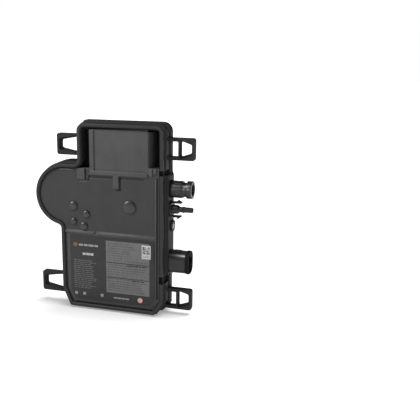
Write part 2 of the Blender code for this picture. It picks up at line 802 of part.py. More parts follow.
def transformer(ferrite, copper):
    """The power transformer: two E-shaped ferrite halves round a flat winding."""
    centre_x, low_z, high_z = -3.0, -9.0, 23.0
    board = BOARD_Y - GAP
    half = 8.2
    for name, back, forward in (
        ("transformer_core_rear", board, -1),
        ("transformer_core_front", board - 2 * half - GAP, 1),
    ):
        section = [(-20, 0), (20, 0), (20, half), (15, half), (15, 3.2), (5.5, 3.2)]
        section += [(5.5, half), (-5.5, half), (-5.5, 3.2), (-15, 3.2), (-15, half), (-20, half)]
        shape = bmesh.new()
        loops = [[(centre_x + x, back + forward * up, z) for x, up in section] for z in (low_z, high_z)]
        skin(shape, loops, False)
        finish(add_object(name, shape), ferrite)
    depth = (board - 2 * half + 3.3, board - 3.6)
    winding = box("transformer_winding", (centre_x - 14.5, centre_x + 14.5), depth, (low_z - 6, high_z + 6))
    window = (centre_x - 5.9, centre_x + 5.9)
    cut(winding, box("leg", window, (-40.0, 0.0), (low_z - 0.4, high_z + 0.4)))
    finish(winding, copper)


def filter_choke(ferrite, copper):
    """The ring choke of the AC filter, which fills the round bulge, with its two windings."""
    centre = (BULGE_X, BULGE_Z)
    core = [(-19.5, 20.0), (-9.5, 20.0), (-9.5, 12.0), (-19.5, 12.0)]
    finish(turned("choke_core", core, "Y", centre, 24, tube=True), ferrite)
    for name, side in (("choke_winding_left", -1), ("choke_winding_right", 1)):
        coat = [(-21.8, 22.6), (BOARD_Y - 0.6, 22.6), (BOARD_Y - 0.6, 9.4), (-21.8, 9.4)]
        winding = turned(name, coat, "Y", centre, 24, tube=True)
        bore = [(-19.8, 20.3), (-9.2, 20.3), (-9.2, 11.7), (-19.8, 11.7)]
        cut(winding, turned("bore", bore, "Y", centre, 24, tube=True))
        near, far = sorted((BULGE_X + side * 3.5, BULGE_X - side * 30.0))
        cut(winding, box("half", (near, far), (-30.0, 0.0), (BULGE_Z - 30.0, BULGE_Z + 30.0)))
        finish(winding, copper)


def bulk_capacitors(can):
    """Six upright capacitors inside the hollow block."""
    number = 0
    for x in (-11.0, 9.0, 29.0):
        for z in (66.0, 86.0):
            number += 1
            profile = [(BOARD_Y - GAP, 8.6), (BOARD_Y - 17.0, 8.6), (BOARD_Y - 17.6, 8.0)]
            finish(turned(f"bulk_capacitor_{number}", profile, "Y", (x, z), 20), can)


def small_parts(epoxy, film, ceramic, glass):
    """The transistors, control chip, filter capacitor, surge absorber and fuse on the board."""
    board = BOARD_Y - GAP
    for number, (x, z) in enumerate(((32.0, 30.0), (32.0, 14.0), (32.0, -2.0), (30.0, -24.0)), start=1):
        finish(box(f"power_transistor_{number}", (x, x + 10.0), (board - 4.4, board), (z, z + 9.0)), epoxy)
    finish(box("control_chip", (-42.0, -28.0), (board - 1.4, board), (-58.0, -44.0)), epoxy)
    finish(box("filter_capacitor", (-8.0, 18.0), (board - 15.0, board), (-52.0, -40.0)), film)
    disc = [(34.0, 6.5), (38.4, 6.5)]
    finish(turned("surge_absorber", disc, "X", (board - 7.0, -70.0), 16), ceramic)
    finish(turned("ac_fuse", [(10.0, 2.6), (30.0, 2.6)], "X", (board - 3.0, -82.0), 12), glass)


def main():
    for old in list(bpy.data.objects):
        bpy.data.objects.remove(old)
    plastic = material("black_plastic", (0.035, 0.036, 0.038), 0.45)
    connector = material("connector_plastic", (0.018, 0.018, 0.020), 0.35)
    rubber = material("black_rubber", (0.030, 0.030, 0.032), 0.6)
    tin = material("tinned_copper", (0.72, 0.70, 0.66), 0.3, 1.0)
    copper = material("enamelled_copper", (0.62, 0.27, 0.12), 0.35, 1.0)
    ferrite = material("ferrite", (0.07, 0.07, 0.08), 0.6)
    rear_housing(plastic)
    front_frame(plastic)
    front_cover(plastic)
    gaskets(rubber)
    plugs(plastic)
    mounting_ears(plastic)
    labels(material("label_film", (0.05, 0.05, 0.05), 0.4), material("label_paper", (0.8, 0.8, 0.8), 0.5))
    dc_socket(connector, tin)
    dc_plug(connector, tin)
    ac_socket(connector, material("insulator", (0.03, 0.03, 0.03), 0.4), tin)
    status_light(
        plastic,
        material("clear_plastic", (0.7, 0.72, 0.72), 0.15),
        material("led_chip", (0.85, 0.8, 0.5), 0.4),
    )
    circuit_board(material("board_laminate", (0.02, 0.16, 0.07), 0.4))
    board_screws(material("screw_steel", (0.6, 0.6, 0.62), 0.3, 1.0))
    heat_path(
        material("spreader_aluminium", (0.8, 0.8, 0.82), 0.4, 1.0),
        material("thermal_silicone", (0.35, 0.45, 0.6), 0.8),
    )
    transformer(ferrite, copper)
    filter_choke(ferrite, copper)
    bulk_capacitors(material("capacitor_can", (0.05, 0.06, 0.12), 0.35))
    small_parts(
        material("chip_epoxy", (0.02, 0.02, 0.022), 0.5),
        material("capacitor_film", (0.75, 0.55, 0.1), 0.5),
        material("absorber_ceramic", (0.1, 0.2, 0.55), 0.45),
        material("fuse_ceramic", (0.8, 0.78, 0.72), 0.4),
    )


main()
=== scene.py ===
"""The look of a solar microinverter: detailed pieces over its CAD model, then floor, light and camera.

Lengths in this script are in millimetres unless a name ends in _m. The frame is the CAD's: the back
face is the plane Y = 0, the front looks along -Y, X is to the right as the front is seen, Z is up.
"""

import json
import math
import random

import bmesh
import bpy
from mathutils import Matrix, Vector

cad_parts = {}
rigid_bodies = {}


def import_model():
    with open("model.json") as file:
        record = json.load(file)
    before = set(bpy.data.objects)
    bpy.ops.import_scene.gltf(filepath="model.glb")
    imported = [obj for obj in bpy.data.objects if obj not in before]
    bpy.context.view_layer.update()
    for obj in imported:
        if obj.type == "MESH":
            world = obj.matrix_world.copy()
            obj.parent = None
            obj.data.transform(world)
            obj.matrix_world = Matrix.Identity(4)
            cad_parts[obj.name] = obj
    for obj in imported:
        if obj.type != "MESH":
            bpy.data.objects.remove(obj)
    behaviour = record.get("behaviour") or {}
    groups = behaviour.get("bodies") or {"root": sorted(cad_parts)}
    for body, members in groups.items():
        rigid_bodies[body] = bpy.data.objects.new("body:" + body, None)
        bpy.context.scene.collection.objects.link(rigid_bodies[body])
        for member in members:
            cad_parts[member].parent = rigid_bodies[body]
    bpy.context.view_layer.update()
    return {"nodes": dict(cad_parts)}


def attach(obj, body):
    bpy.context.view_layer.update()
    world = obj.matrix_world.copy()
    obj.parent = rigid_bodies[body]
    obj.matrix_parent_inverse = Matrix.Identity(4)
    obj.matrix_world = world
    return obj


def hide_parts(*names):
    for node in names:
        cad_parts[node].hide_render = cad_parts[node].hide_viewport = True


MM = 0.001
HOUSE = "inverter"

# Housing outline and depths, as in the CAD
HALF_WIDTH = 59.5
HALF_HEIGHT = 104.0
UPPER_LEFT_X = -38.0
SHOULDER_FILLET = 6.0
BULGE_X = -54.5
BULGE_Z = 24.5
BULGE_RADIUS = 34.6
WAIST_FILLET = 5.0
TOP_RIGHT_RADIUS = 8.0
LEFT_CHAMFER_RUN = 9.0
LEFT_CHAMFER_RISE = 20.5
CHAMFER_ROUNDING = 1.8
FRONT_CORNERS = (8.0, 10.0, 14.5)
FLANGE_CORNERS = (2.0, 7.8, 7.4)
FRONT_Y = -30.2
PLATE_Y = -27.8
PANEL_Y = -28.4
PLATE_EDGE_Y = -26.6
PLATE_BACK_Y = -25.2
LIP_BACK_Y = -26.9
FRAME_GROOVE_Y = -26.0
FRAME_BACK_Y = -24.9
REAR_TOP_Y = -24.0
NOTCH_FLOOR_Y = -12.0
PAD_FRONT_Y = -21.0
REAR_GROOVE_Y = -14.0
REAR_FLANGE_Y = -9.5
FLOOR_WALL_Y = -2.4
FLANGE_INSET = -2.0
REAR_BAND_INSET = -1.5
REAR_GROOVE_INSET = 1.0
CAVITY_INSET = 3.2
FRAME_GROOVE_INSET = 1.3
SKIRT_INSET = 2.2
PLATE_EDGE_INSET = 2.5
LIP_INSET = 4.0
PLATE_INSET = 5.2
SEEN_PLATE_INSET = 4.3
LINER_INSET = 3.5
MOAT_INSET = 4.7

# The upper pocket
BLOCK_LEFT = -24.0
BLOCK_RIGHT = 42.0
BLOCK_BOTTOM = 53.5
BLOCK_TOP = 97.6
BLOCK_FACE_Y = -27.3
BLOCK_RIDGE = 4.8
MOAT_LEFT_BOTTOM = 55.7
MOAT_RIGHT_BOTTOM = 59.2
MOAT_FLOOR_Y = -10.8
MOAT_BACK_Y = -9.0

# Connector side
PAD_X = 63.0
PAD_TOP = 50.0
PAD_BOTTOM = -60.0
SOCKET_X = 63.3
CONNECTOR_Y = -11.5
DC_SOCKET_Z = 35.5
DC_PLUG_Z = 13.4
AC_Y = -11.2
AC_Z = -45.2
LED_Y = -8.0
LED_Z = -5.8
DC_SOCKET_END = 87.2
DC_PLUG_END = 87.5
AC_END = 85.6
LATCH_ROOT_X = 65.3
LATCH_OFFSET = 7.7
PIN_START_X = 45.0
PIN_FOOT_END_X = 48.0
BOARD_FACE_Y = -6.9

# Holes through the connector wall: radius, y, z
HOLES = (
    (4.9, CONNECTOR_Y, DC_SOCKET_Z),
    (4.9, CONNECTOR_Y, DC_PLUG_Z),
    (7.7, CONNECTOR_Y, AC_Z),
    (2.8, LED_Y, LED_Z),
)

# Pockets in the back: left and right, bottom and top
BACK_POCKET_DEPTH = 0.8
BACK_POCKET_CORNER = 3.0
BACK_COLUMNS = ((-51.0, -19.5), (-16.5, 16.5), (19.5, 51.0))
BACK_ROWS = ((-78.0, -46.5), (-43.5, -12.0), (12.0, 43.5))
BACK_TOP_COLUMNS = ((-28.0, 4.5), (7.5, 51.0))
BACK_TOP_ROW = (52.0, 94.0)

# The gap between touching pieces, and places clear of the housing, where cutters start and end
GAP = 0.3
IN_FRONT_Y = FRONT_Y - 2.0
PAST_RIGHT_X = 60.0
FAR_RIGHT_X = 70.0
FAR_FRONT_Y = -40.0
FAR_TOP_Z = 110.0
FLOOR_Z = -106.0

# Wall pockets on the connector side: height, and where each starts in the rim
NOTCH_WALL_X = (58.3, 66.0)
NOTCH_PLATE_X = 54.6
NOTCHES = (((51.8, 57.2), 55.2), ((-67.5, -59.0), 54.0))

# Grooves in the plate: x, z, depth, corner radius
GROOVE_DEPTH = 1.5
PLATE_GROOVES = (
    ((-30.4, -28.4), (43.0, 57.0), GROOVE_DEPTH, 0.0),  # beside the tab
    ((-38.4, -28.4), (40.8, 43.0), 0.7, 0.6),  # under the tab
    ((-26.0, 2.2), (44.9, 48.2), GROOVE_DEPTH, 0.6),  # under the block, left
    ((9.4, 37.3), (44.9, 48.2), GROOVE_DEPTH, 0.6),  # under the block, right
    ((9.4, 11.4), (33.0, 46.8), GROOVE_DEPTH, 0.6),  # stem
    ((6.4, 11.4), (32.4, 34.4), GROOVE_DEPTH, 0.9),  # foot of the stem
    ((51.9, 53.9), (-86.0, 49.0), GROOVE_DEPTH, 0.5),  # right edge
    ((-45.0, 47.0), (-100.4, -98.9), 2.4, 0.6),  # bottom edge
)

# Ribs on the plate: x, front y, z, corner radius
PLATE_RIBS = (
    ((BLOCK_LEFT, BLOCK_LEFT + BLOCK_RIDGE), -28.6, (49.2, 97.4), 0.6),  # ridge along the block
    ((BLOCK_LEFT, 41.8), -28.9, (49.2, 53.6), 0.8),  # bar under the block
    ((2.9, 9.2), -28.7, (35.2, 50.0), 0.8),  # stem
    ((-39.2, -30.6), -28.3, (43.0, 55.0), 0.8),  # tab
    ((43.6, 47.2), -28.8, (50.4, 58.6), 0.6),  # pads beside the block
    ((48.4, 51.6), -28.8, (53.6, 58.6), 0.6),
    ((50.2, 51.6), -28.3, (-13.0, 47.0), 0.3),  # right edge
    ((-60.0, -43.0), -28.7, (52.2, 53.9), 0.6),  # top of the bulge
)
PANEL_TOP_Z = -17.4
PANEL_RIGHT_X = 51.4
LEDGE_RISE = 1.4

# Where the seen parts differ a little from the CAD: a wider seam, and roomier ear pockets
SEAM_EXTRA = 0.3
SEAM_FLOOR_INSET = 0.9
EAR_POCKET_ROOM = 1.5

# Ears: name, side, wall, height of the centre, reach from the wall, crossbar
EAR_FRONT_Y = -14.0
EAR_BACK_Y = -7.0
EAR_HALF_HEIGHT = 11.9
EAR_ARM_Z = 8.0
EAR_BAR = 2.8
EAR_END_BAR = 4.6
EAR_ROOT = 14.0
EAR_RECESS_INSET = 1.4
EARS = (
    ("mounting_ear_upper_left", -1, UPPER_LEFT_X, 78.8, 29.5, 3.6),
    ("mounting_ear_upper_right", 1, HALF_WIDTH, 78.7, 27.6, 9.4),
    ("mounting_ear_lower_left", -1, -HALF_WIDTH, -83.2, 32.0, 3.6),
    ("mounting_ear_lower_right", 1, HALF_WIDTH, -88.3, 26.1, 8.4),
)

# Domed plugs: name, x, z, radius
PLUGS = (
    ("fill_plug", 21.3, 15.6, 7.4),
    ("vent_plug_1", -44.6, 13.0, 5.0),
    ("vent_plug_2", -29.2, 4.5, 4.2),
    ("vent_plug_3", -44.5, -4.6, 3.8),
    ("vent_plug_4", -32.5, -9.4, 4.6),
)

# The domes' foot, their rise, and how full they are: 1 gives an ellipse, less gives steeper sides
DOME_FOOT_Y = -24.4
DOME_RISE = 2.3
DOME_FULLNESS = 0.62

# A face larger than this, in square metres, is flat and is shaded flat
LARGE_FACE_M2 = 60e-6

INK_COLOURS = {
    "white": (0.30, 0.30, 0.30),
    "pale": (0.19, 0.19, 0.19),
    "row": (0.055, 0.055, 0.055),
    "grey": (0.078, 0.078, 0.078),
    "table": (0.096, 0.096, 0.097),
    "dark": (0.014, 0.014, 0.014),
    "orange": (0.15, 0.06, 0.028),
    "red": (0.45, 0.24, 0.225),
}

# Light: the soft world's strength and brightest side, and the floor's own glow
WORLD_LIGHT = 0.52
SOFT_LIGHT_FROM = (-0.5, -0.6, 0.6)
FLOOR_GLOW = 0.28

# Lamps: place and size in metres, and watts. The sun's size is an angle in degrees.
KEY_LAMP = ((-0.32, -0.32, 0.50), 0.16, 5.8)
PLUG_LAMP = ((-0.43, -0.25, 0.36), 0.26, 5.0)
SIDE_LAMP = ((0.42, -0.62, 0.10), 0.2, 3.1)
FRONT_STRIP = ((-0.137, -0.748, 0.229), 0.22, 2.4)
TOP_STRIP = ((-0.105, -0.36, 0.55), 0.22, 1.6)
FLOOR_SUN = ((0.22, 0.16, 0.96), 50.0, 3.2)

# Camera: place in metres; azimuth, elevation and roll in degrees
CAMERA_PLACE = (0.25604, -0.65587, 0.17056)
CAMERA_ANGLES = (16.96, 13.25, 0.34)
CAMERA_LENS = 54.79
CAMERA_SHIFT_X = 0.1


# ---------------------------------------------------------------- outlines


def arc(centre_x, centre_z, radius, start, end, steps):
    """Points along an arc from one angle to another, in degrees."""
    angles = [math.radians(start + (end - start) * i / steps) for i in range(steps + 1)]
    return [(centre_x + radius * math.cos(a), centre_z + radius * math.sin(a)) for a in angles]


def meet(first, second):
    """The point where two lines (normal_x, normal_z, distance) cross."""
    ax, az, a = first
    bx, bz, b = second
    scale = ax * bz - az * bx
    return ((a * bz - az * b) / scale, (ax * b - a * bx) / scale)


def rounded_corner(before, corner, after, radius, steps):
    """The corner's arc, from the side of before to the side of after."""
    here = Vector(corner)
    to_before = (Vector(before) - here).normalized()
    to_after = (Vector(after) - here).normalized()
    half = to_before.angle(to_after) / 2
    middle = (to_before + to_after).normalized()
    centre = here + middle * (radius / math.sin(half))
    first = (here + to_before * (radius / math.tan(half)) - centre).normalized()
    last = (here + to_after * (radius / math.tan(half)) - centre).normalized()
    return [tuple(centre + radius * first.slerp(last, i / steps)) for i in range(steps + 1)]


def rounded_polygon(corners, steps=6):
    """A polygon from (x, z, radius) corners, a radius of 0 leaving a corner sharp."""
    points = []
    for i, (x, z, radius) in enumerate(corners):
        before = corners[i - 1][:2]
        after = corners[(i + 1) % len(corners)][:2]
        points += rounded_corner(before, (x, z), after, radius, steps) if radius else [(x, z)]
    return points


def rectangle(x_range, z_range, radius=0.0, steps=5):
    """A rectangle's corners, rounded if asked."""
    low_x, high_x = x_range
    low_z, high_z = z_range
    corners = [(low_x, low_z), (high_x, low_z), (high_x, high_z), (low_x, high_z)]
    return rounded_polygon([(x, z, radius) for x, z in corners], steps)


def chamfer_line(side, run, rise, inset):
    """The slanted lower corner's line, on the left (side -1) or the right (side 1)."""
    length = math.hypot(run, rise)
    normal_x = side * rise / length
    normal_z = -run / length
    through = normal_x * side * HALF_WIDTH + normal_z * (rise - HALF_HEIGHT)
    return (normal_x, normal_z, through - inset)


def outline(inset, corners=FRONT_CORNERS, corner_steps=8, bulge_steps=56):
    """The housing's outline drawn in by inset. It has the same number of points at every inset."""
    top_left_radius, right_run, right_rise = corners
    left_chamfer = chamfer_line(-1, LEFT_CHAMFER_RUN, LEFT_CHAMFER_RISE, inset)
    right_chamfer = chamfer_line(1, right_run, right_rise, inset)
    left = (-1.0, 0.0, HALF_WIDTH - inset)
    right = (1.0, 0.0, HALF_WIDTH - inset)
    bottom = (0.0, -1.0, HALF_HEIGHT - inset)
    small = max(CHAMFER_ROUNDING - inset, 0.5)
    top_left_round = max(top_left_radius - inset, 0.5)
    top_right_round = max(TOP_RIGHT_RADIUS - inset, 0.5)
    shoulder_z = BULGE_Z + BULGE_RADIUS
    waist_x = -HALF_WIDTH - WAIST_FILLET
    reach = BULGE_RADIUS + WAIST_FILLET
    waist_z = BULGE_Z - math.sqrt(reach**2 - (waist_x - BULGE_X) ** 2)
    waist_angle = math.degrees(math.atan2(BULGE_Z - waist_z, BULGE_X - waist_x))
    low_left = meet(bottom, left_chamfer)
    high_left = meet(left_chamfer, left)
    high_right = meet(right_chamfer, right)
    low_right = meet(bottom, right_chamfer)
    top_left = (UPPER_LEFT_X + inset, HALF_HEIGHT - inset)
    top_right = (HALF_WIDTH - inset, HALF_HEIGHT - inset)
    waist_point = (-HALF_WIDTH + inset, waist_z)
    fillet_x = UPPER_LEFT_X - SHOULDER_FILLET
    fillet_z = shoulder_z + SHOULDER_FILLET
    steps = corner_steps
    few = corner_steps // 2
    points = rounded_corner(low_right, low_left, high_left, small, few)
    points += rounded_corner(low_left, high_left, waist_point, small, few)
    points += arc(waist_x, waist_z, WAIST_FILLET + inset, 0, waist_angle, steps)
    points += arc(BULGE_X, BULGE_Z, BULGE_RADIUS - inset, waist_angle + 180, 90, bulge_steps)[1:]
    points += arc(fillet_x, fillet_z, SHOULDER_FILLET + inset, -90, 0, steps)
    points += rounded_corner((top_left[0], 0), top_left, top_right, top_left_round, steps)
    points += rounded_corner(top_left, top_right, (top_right[0], 0), top_right_round, steps)
    points += rounded_corner(top_right, high_right, low_right, small, few)
    points += rounded_corner(high_right, low_right, low_left, small, few)
    return points


# ---------------------------------------------------------------- meshes


def skin(shape, loops, closed_along=False):
    """Joins rings of points into faces, with flat ends unless the last ring meets the first."""
    rings = [[shape.verts.new(point) for point in loop] for loop in loops]
    count = len(rings[0])
    pairs = list(zip(rings, rings[1:]))
    if closed_along:
        pairs.append((rings[-1], rings[0]))
    for first, second in pairs:
        for i in range(count):
            j = (i + 1) % count
            shape.faces.new((first[i], first[j], second[j], second[i]))
    if not closed_along:
        shape.faces.new(rings[0])
        shape.faces.new(rings[-1])
    return shape


def soften(shape, width, segments=2, sharper_than=28.0):
    """Rounds every edge of a closed bmesh that is sharper than an angle."""
    bmesh.ops.recalc_face_normals(shape, faces=shape.faces)
    limit = math.radians(sharper_than)
    sharp = [e for e in shape.edges if e.is_manifold and e.calc_face_angle(0.0) > limit]
    if width and sharp:
        bmesh.ops.bevel(
            shape,
            geom=sharp,
            offset=width,
            segments=segments,
            profile=0.5,
            affect="EDGES",
            clamp_overlap=True,
        )
    return shape


def sweep(profile, ring=False):
    """A solid whose section is (inset, y) points taken round the housing's outline.

    A point may carry a third item, the corners of the outline at that point.
    """
    loops = [[(x, y, z) for x, z in outline(inset, *corners)] for inset, y, *corners in profile]
    return skin(bmesh.new(), loops, ring)


def prism(points, front, back, axis="Y"):
    """A flat shape pushed along an axis: (x, z) points along Y, (y, z) along X, (x, y) along Z."""
    if axis == "Y":
        loops = [[(a, depth, b) for a, b in points] for depth in (front, back)]
    elif axis == "X":
        loops = [[(depth, a, b) for a, b in points] for depth in (front, back)]
    else:
        loops = [[(a, b, depth) for a, b in points] for depth in (front, back)]
    return skin(bmesh.new(), loops)


def block(x_range, y_range, z_range, radius=0.0):
    """A box, with the corners seen from the front rounded if asked."""
    return prism(rectangle(x_range, z_range, radius), y_range[0], y_range[1])


def turned(profile, axis, centre, segments=64, tube=False):
    """A solid of revolution from (along, radius) points. A tube's profile is a closed loop."""
    angles = [2 * math.pi * i / segments for i in range(segments)]
    loops = []
    for along, radius in profile:
        circle = [(radius * math.cos(a), radius * math.sin(a)) for a in angles]
        if axis == "X":
            loops.append([(along, centre[0] + p, centre[1] + q) for p, q in circle])
        else:
            loops.append([(centre[0] + p, along, centre[1] + q) for p, q in circle])
    return skin(bmesh.new(), loops, tube)


def rounded_profile(points, radius, steps=4, closed=True):
    """A section with each corner rounded by up to radius, less where its sides are short."""
    made = []
    count = len(points)
    for i, corner in enumerate(points):
        if not closed and i in (0, count - 1):
            made.append(corner)
            continue
        before, after = points[i - 1], points[(i + 1) % count]
        sides = [(Vector(p) - Vector(corner)).length for p in (before, after)]
        to_before = (Vector(before) - Vector(corner)).normalized()
        to_after = (Vector(after) - Vector(corner)).normalized()
        half = to_before.angle(to_after) / 2
        fit = min(radius, 0.45 * min(sides) * math.tan(half))
        if half > math.radians(85):
            made.append(corner)
        else:
            made += rounded_corner(before, corner, after, fit, steps)
    return made


def add_object(name, data):
    """A new object in the scene."""
    made = bpy.data.objects.new(name, data)
    bpy.context.scene.collection.objects.link(made)
    return made


def to_object(name, shape, smooth=35.0):
    """A Blender object in metres from a bmesh in millimetres."""
    bmesh.ops.recalc_face_normals(shape, faces=shape.faces)
    shape.transform(Matrix.Scale(MM, 4))
    mesh = bpy.data.meshes.new(name)
    shape.to_mesh(mesh)
    shape.free()
    made = add_object(name, mesh)
    mesh.shade_smooth()
    mesh.set_sharp_from_angle(angle=math.radians(smooth))
    return made


def merge(shapes):
    """Several closed bmeshes as one, without joining their surfaces."""
    whole = bmesh.new()
    for shape in shapes:
        mesh = bpy.data.meshes.new("part")
        bmesh.ops.recalc_face_normals(shape, faces=shape.faces)
        shape.to_mesh(mesh)
        shape.free()
        whole.from_mesh(mesh)
        bpy.data.meshes.remove(mesh)
    return whole


def boolean(target, tool_shape, operation):
    """Cuts a bmesh out of an object, or joins it on."""
    tool = to_object("tool", tool_shape)
    modifier = target.modifiers.new("boolean", "BOOLEAN")
    modifier.operation = operation
    modifier.solver = "EXACT"
    modifier.object = tool
    graph = bpy.context.evaluated_depsgraph_get()
    target.data = bpy.data.meshes.new_from_object(target.evaluated_get(graph))
    target.modifiers.clear()
    bpy.data.objects.remove(tool)


def cut(target, *shapes):
    """Cuts each bmesh out of an object."""
    for shape in shapes:
        boolean(target, shape, "DIFFERENCE")


def join(target, *shapes):
    """Joins each bmesh onto an object."""
    for shape in shapes:
        boolean(target, shape, "UNION")


def trimmed(shape, tool_shape, operation):
    """A bmesh after a Boolean with another bmesh."""
    rough = to_object("rough", shape)
    boolean(rough, tool_shape, operation)
    result = bmesh.new()
    result.from_mesh(rough.data)
    result.transform(Matrix.Scale(1.0 / MM, 4))
    bpy.data.objects.remove(rough)
    return result


def round_edges(made, width, segments=2, angle=32.0):
    """A bevel on the sharp edges, and smooth shading that keeps flat faces flat."""
    bevel = made.modifiers.new("edges", "BEVEL")
    bevel.width = width * MM
    bevel.segments = segments
    bevel.limit_method = "ANGLE"
    bevel.angle_limit = math.radians(angle)
    bevel.use_clamp_overlap = False
    for face in made.data.polygons:
        face.use_smooth = face.area < LARGE_FACE_M2


def piece(made, surface, stands_for=(), body=HOUSE):
    """Gives a piece its material, its body, and the CAD nodes it stands for."""
    made.data.materials.clear()
    made.data.materials.append(surface)
    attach(made, body)
    if stands_for:
        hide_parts(*stands_for)
    return made


# ---------------------------------------------------------------- materials


class Tree:
    """Short ways to add and link nodes in one tree."""

    def __init__(self, owner):
        owner.use_nodes = True
        self.tree = owner.node_tree

    def add(self, kind, **settings):
        node = self.tree.nodes.new(kind)
        for key, value in settings.items():
            setattr(node, key, value)
        return node

    def link(self, source, target):
        self.tree.links.new(source, target)

    def spread(self, source, low=0.0, high=1.0, start=0.3, end=0.7):
        """A value carried from start..end to low..high."""
        node = self.add("ShaderNodeMapRange")
        for socket, value in (("From Min", start), ("From Max", end), ("To Min", low), ("To Max", high)):
            node.inputs[socket].default_value = value
        self.link(source, node.inputs["Value"])
        return node.outputs["Result"]


class Nodes(Tree):
    """A material's nodes."""

    def __init__(self, name):
        self.material = bpy.data.materials.new(name)
        super().__init__(self.material)
        self.shader = self.tree.nodes["Principled BSDF"]
        self.place = self.add("ShaderNodeTexCoord").outputs["Object"]

    def noise(self, scale, detail=3.0, stretch=(1.0, 1.0, 1.0)):
        """Noise over the object, in features per metre."""
        mapping = self.add("ShaderNodeMapping")
        mapping.inputs["Scale"].default_value = stretch
        self.link(self.place, mapping.inputs["Vector"])
        node = self.add("ShaderNodeTexNoise")
        node.inputs["Scale"].default_value = scale
        node.inputs["Detail"].default_value = detail
        self.link(mapping.outputs["Vector"], node.inputs["Vector"])
        return node.outputs["Fac"]

    def blend(self, factor, first, second):
        """A colour between two others."""
        node = self.add("ShaderNodeMix", data_type="RGBA")
        self.link(factor, node.inputs["Factor"])
        for socket, colour in ((node.inputs["A"], first), (node.inputs["B"], second)):
            if isinstance(colour, tuple):
                socket.default_value = (*colour, 1.0)
            else:
                self.link(colour, socket)
        return node.outputs["Result"]

    def colour(self, factor, first, second):
        """Sets the base colour: first where the factor is 0, second where it is 1."""
        self.link(self.blend(factor, first, second), self.shader.inputs["Base Color"])

    def roughness(self, source, low, high):
        """Sets the roughness, from low to high as the source rises."""
        self.link(self.spread(source, low, high), self.shader.inputs["Roughness"])

    def worn_edge(self, reach_m=0.0007):
        """1 within reach of an edge, 0 elsewhere."""
        rounded = self.add("ShaderNodeBevel")
        rounded.inputs["Radius"].default_value = reach_m
        flat = self.add("ShaderNodeNewGeometry").outputs["Normal"]
        agreement = self.add("ShaderNodeVectorMath", operation="DOT_PRODUCT")
        self.link(rounded.outputs["Normal"], agreement.inputs[0])
        self.link(flat, agreement.inputs[1])
        return self.spread(agreement.outputs["Value"], 1.0, 0.0, 0.86, 0.99)

    def bump(self, *heights):
        """Bumps from (height, distance in metres, strength), one on top of the other."""
        normal = None
        for height, distance, strength in heights:
            node = self.add("ShaderNodeBump")
            node.inputs["Distance"].default_value = distance
            node.inputs["Strength"].default_value = strength
            self.link(height, node.inputs["Height"])
            if normal:
                self.link(normal, node.inputs["Normal"])
            normal = node.outputs["Normal"]
        self.link(normal, self.shader.inputs["Normal"])


def grey(level, blue=0.0):
    """A grey, a little bluer if asked."""
    return (level, level, level + blue)


def tone(colour, factor):
    """A colour made lighter or darker."""
    return tuple(min(c * factor, 1.0) for c in colour)


def moulded(name, colour, roughness, grain=0.5, wear=2.2, gloss=0.3):
    """Moulded plastic: a fine spark-eroded grain, faint flow patches, and paler rubbed edges."""
    nodes = Nodes(name)
    nodes.shader.inputs["Specular IOR Level"].default_value = gloss
    patches = nodes.noise(38.0, 4.0)
    flow = nodes.noise(190.0, 3.0, (1.0, 1.0, 0.35))
    fine = nodes.noise(3600.0, 2.0)
    mottled = nodes.blend(nodes.spread(patches), tone(colour, 0.86), tone(colour, 1.14))
    streaked = nodes.blend(nodes.spread(flow, 0.0, 0.35), mottled, tone(colour, 1.3))
    nodes.colour(nodes.worn_edge(), streaked, tone(colour, wear))
    nodes.roughness(patches, roughness - 0.06, roughness + 0.07)
    nodes.bump((flow, 0.00004, 0.3), (fine, 0.00003, grain))
    return nodes.material


def rubber(name, colour):
    """Matt rubber with a soft, dusty surface."""
    nodes = Nodes(name)
    dust = nodes.noise(260.0, 5.0)
    fine = nodes.noise(2400.0, 2.0)
    nodes.colour(nodes.spread(dust), colour, tone(colour, 1.7))
    nodes.roughness(dust, 0.68, 0.85)
    nodes.bump((fine, 0.00004, 0.5))
    return nodes.material


def metal(name, colour, roughness, stretch=(1.0, 1.0, 1.0)):
    """Plated or drawn metal with fine lines and faint tarnish."""
    nodes = Nodes(name)
    nodes.shader.inputs["Metallic"].default_value = 1.0
    lines = nodes.noise(1800.0, 3.0, stretch)
    tarnish = nodes.noise(240.0, 4.0)
    nodes.colour(nodes.spread(tarnish), tone(colour, 0.8), colour)
    nodes.roughness(lines, roughness - 0.08, roughness + 0.1)
    nodes.bump((lines, 0.00002, 0.35))
    return nodes.material


def wound_wire(name, colour):
    """Enamelled wire laid in close turns."""
    nodes = Nodes(name)
    nodes.shader.inputs["Metallic"].default_value = 0.7
    wave = nodes.add("ShaderNodeTexWave", wave_type="BANDS", bands_direction="DIAGONAL")
    wave.inputs["Scale"].default_value = 420.0
    wave.inputs["Distortion"].default_value = 0.6
    nodes.link(nodes.place, wave.inputs["Vector"])
    turns = wave.outputs["Fac"]
    nodes.colour(turns, tone(colour, 0.45), colour)
    nodes.roughness(nodes.noise(300.0), 0.28, 0.42)
    nodes.bump((turns, 0.0003, 0.7))
    return nodes.material


def speckled(name, colour, roughness, scale=900.0, contrast=0.35):
    """A pressed or dipped surface, such as ferrite, epoxy or ceramic."""
    nodes = Nodes(name)
    spots = nodes.noise(scale, 5.0)
    nodes.colour(nodes.spread(spots), tone(colour, 1.0 - contrast), tone(colour, 1.0 + contrast))
    nodes.roughness(spots, roughness - 0.08, roughness + 0.08)
    nodes.bump((spots, 0.00005, 0.4))
    return nodes.material


